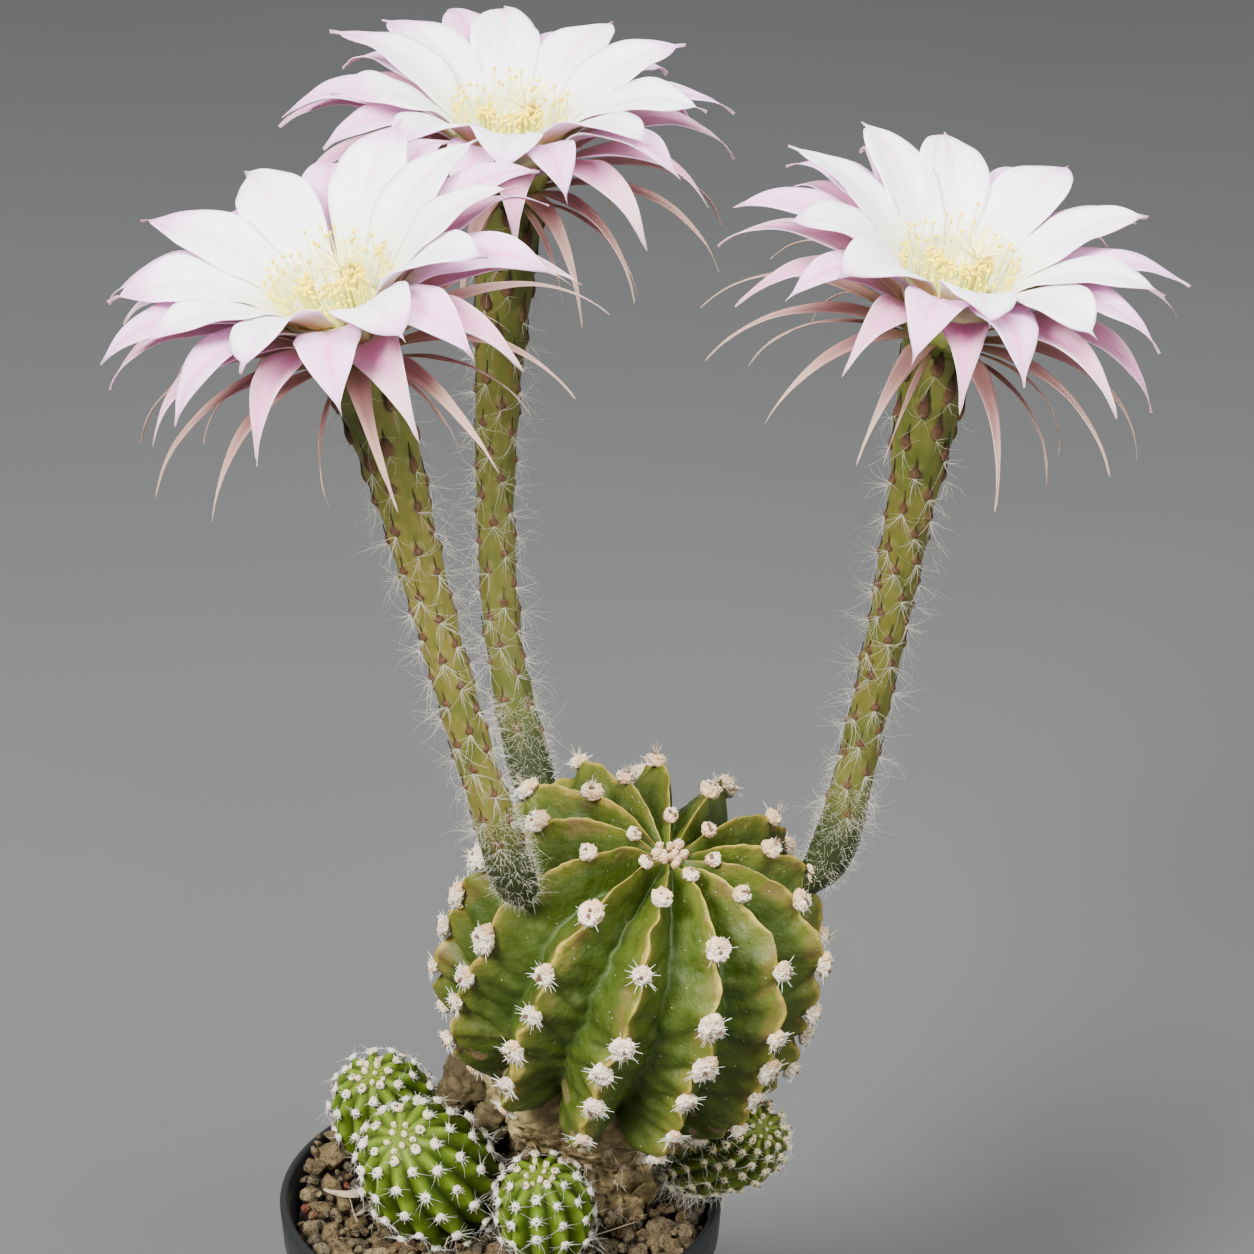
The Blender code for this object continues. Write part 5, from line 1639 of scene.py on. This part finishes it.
def make_stamens(name, draw, matrix, finishes):
    """Filaments with gold anthers: a tall ring against the petals, and an upright crowd on the near side."""
    filaments, anthers = [], []

    def add(root, tip, bow):
        line = []
        for step in range(7):
            share = step / 6
            point = root.lerp(tip, share) + bow * math.sin(math.pi * share)
            line.append((matrix @ point, 0.24 - 0.08 * share))
        filaments.append(line)
        lay = (any_way(draw) + up(0.5)).normalized()
        anthers.append([(matrix @ (tip + lay * place), radius) for place, radius in ANTHER_STATIONS])

    for number in range(OUTER_STAMENS):
        turn = math.tau * (number + draw.uniform(-0.4, 0.4)) / OUTER_STAMENS
        out, back = bloom_way(turn), 0.5 - 0.5 * math.cos(turn)
        root = out * draw.uniform(7.8, 9.2) + up(draw.uniform(8.5, 11.0))
        tip = out * draw.uniform(12.5, 15.5) + up(draw.uniform(19.0, 25.0) + 8.0 * back * draw.random())
        add(root, tip, out * draw.uniform(0.4, 1.8))
    for _ in range(INNER_STAMENS):
        out = bloom_way(math.radians(draw.uniform(-105.0, 105.0)))
        far = draw.uniform(5.0, 8.8)
        tip = out * far + up(25.2 - 0.22 * far + draw.uniform(-1.5, 1.1))
        add(out * far * 0.72 + up(6.0), tip, out * 0.3)
    dress(strand_object(name + "_filaments", filaments), [finishes["filament"]], [name])
    dress(strand_object(name + "_anthers", anthers, 1), [finishes["anther"]])


def make_pistil(name, draw, matrix, finishes):
    """The style with its long spreading stigma lobes."""
    style = ((up(3.0), 1.0), (Vector((1.6, -0.8, 16.0)), 0.95), (STYLE_TOP, 1.2))
    lines = [[(matrix @ point, radius) for point, radius in style]]
    for number in range(STIGMA_LOBES):
        out = bloom_way(math.tau * (number + draw.uniform(-0.25, 0.25)) / STIGMA_LOBES)
        length, spread = draw.uniform(7.5, 10.5), draw.uniform(0.42, 0.85)
        line = []
        for step in range(8):
            share = step / 7
            rise = math.sqrt(1.0 - spread ** 2) * share - 0.12 * share ** 3
            point = STYLE_TOP + out * length * spread * share + up(length * rise)
            line.append((matrix @ point, 0.42 - 0.16 * share ** 2))
        lines.append(line)
    dress(strand_object(name + "_style", lines, 1), [finishes["stigma"]], [name])


def flower_finishes():
    """Each whorl's finishes, above and under, and those of the rest of a flower."""
    white, cream = (0.95, 0.945, 0.955), (0.94, 0.92, 0.62)
    lilac, rose, pale = (0.90, 0.42, 0.74), (0.84, 0.22, 0.55), (0.96, 0.80, 0.92)
    inner = petal("petal_white", white, cream, lilac, (0.91, 0.82, 0.91), (0.88, 0.52, 0.76), 0.10, 0.6, 0.90)
    inner_under = petal("petal_white_under", (0.94, 0.89, 0.93), (0.90, 0.88, 0.58), lilac, lilac, pale,
                        0.3, 0.5, 0.86)
    second = petal("petal_second", (0.95, 0.79, 0.92), cream, lilac, (0.90, 0.38, 0.73), pale,
                   0.42, 0.85, 0.56)
    second_under = petal("petal_second_under", (0.86, 0.50, 0.74), cream, lilac, rose, pale, 0.4, 0.8, 0.6)
    outer = petal("petal_pink", (0.92, 0.36, 0.70), (0.90, 0.58, 0.60), (0.90, 0.46, 0.72), rose,
                  (0.96, 0.74, 0.90), 0.50, 0.9, 0.86)
    outer_under = petal("petal_pink_under", (0.68, 0.32, 0.45), (0.55, 0.36, 0.27), (0.78, 0.50, 0.52), rose,
                        (0.82, 0.58, 0.66), 0.45, 0.8, 0.75)
    sepal = petal("sepal_rose", (0.35, 0.175, 0.155), (0.26, 0.17, 0.08), (0.52, 0.35, 0.26),
                  (0.22, 0.085, 0.080), (0.50, 0.32, 0.28), 0.55, 0.8, 0.5)
    return {
        "inner": [inner, inner_under],
        "second": [second, second_under],
        "outer": [outer, outer_under],
        "sepal": [sepal, sepal],
        "tube": tube_green(),
        "scale": scale_brown(),
        "hair": hair_white("tube_hair", (0.42, 0.40, 0.29), (0.66, 0.64, 0.53)),
        "throat": throat_cream(),
        "filament": flecked("filament_cream", 5.0, (0.95, 0.88, 0.16), (0.97, 0.93, 0.32), roughness=0.45,
                            Subsurface_Weight=0.25, Subsurface_Scale=0.001),
        "stigma": flecked("stigma_cream", 0.4, (0.94, 0.88, 0.30), (0.97, 0.94, 0.50), 3.0, 0.12,
                          roughness=0.6, Subsurface_Weight=0.25, Subsurface_Scale=0.001),
        "anther": flecked("anther_gold", 0.3, (0.95, 0.69, 0.012), (0.98, 0.84, 0.035), 3.0, 0.15,
                          roughness=0.85),
    }


# Studio


def aimed(name, data, place, target):
    """An object at a place, in metres, that faces the target."""
    obj = linked(name, data)
    obj.location = place
    obj.rotation_euler = (Vector(target) - Vector(place)).to_track_quat("-Z", "Y").to_euler()
    return obj


def make_camera():
    camera = bpy.data.cameras.new("camera")
    camera.lens = CAMERA_LENS
    camera.sensor_width = 36.0
    camera.clip_end = 20.0
    bpy.context.scene.camera = aimed("camera", camera, CAMERA_PLACE, CAMERA_TARGET)


def make_studio():
    """A plain grey floor, three soft lights and an even sky."""
    bm = bmesh.new()
    bmesh.ops.create_grid(bm, x_segments=8, y_segments=8, size=FLOOR_SIZE)
    floor = new_object("floor", bm)
    grey = flecked("floor", 400.0, (0.110, 0.111, 0.113), (0.117, 0.118, 0.120), 2.0, roughness=0.9,
                   Specular_IOR_Level=0.1)
    floor.data.materials.append(grey)
    for name, (place, size, power, colour) in LIGHTS.items():
        light = bpy.data.lights.new(name, "AREA")
        light.shape = "DISK"
        light.size = size
        light.energy = power
        light.color = colour
        aimed(name, light, place, LIGHT_TARGET)
    world = bpy.data.worlds.new("studio")
    world.use_nodes = True
    sky = world.node_tree.nodes["Background"].inputs
    sky["Color"].default_value = WORLD_COLOUR
    sky["Strength"].default_value = WORLD_STRENGTH
    bpy.context.scene.world = world


def main():
    make_camera()
    make_studio()
    make_pot()
    make_soil()
    make_stones()
    make_litter()
    make_globe()
    make_areoles()
    make_trunk()
    fresh = pup_green("pup_fresh", (0.048, 0.090, 0.004), (0.092, 0.142, 0.007))
    old = pup_green("pup_old", (0.060, 0.088, 0.007), (0.100, 0.125, 0.014))
    for name, pup in PUPS.items():
        make_pup(name, pup, old if name == "right" else fresh, 0.7 if name == "right" else 0.1)
    finishes = flower_finishes()
    for flower_name in FLOWERS:
        make_tube(flower_name, finishes)
        make_bloom(flower_name, finishes)


main()
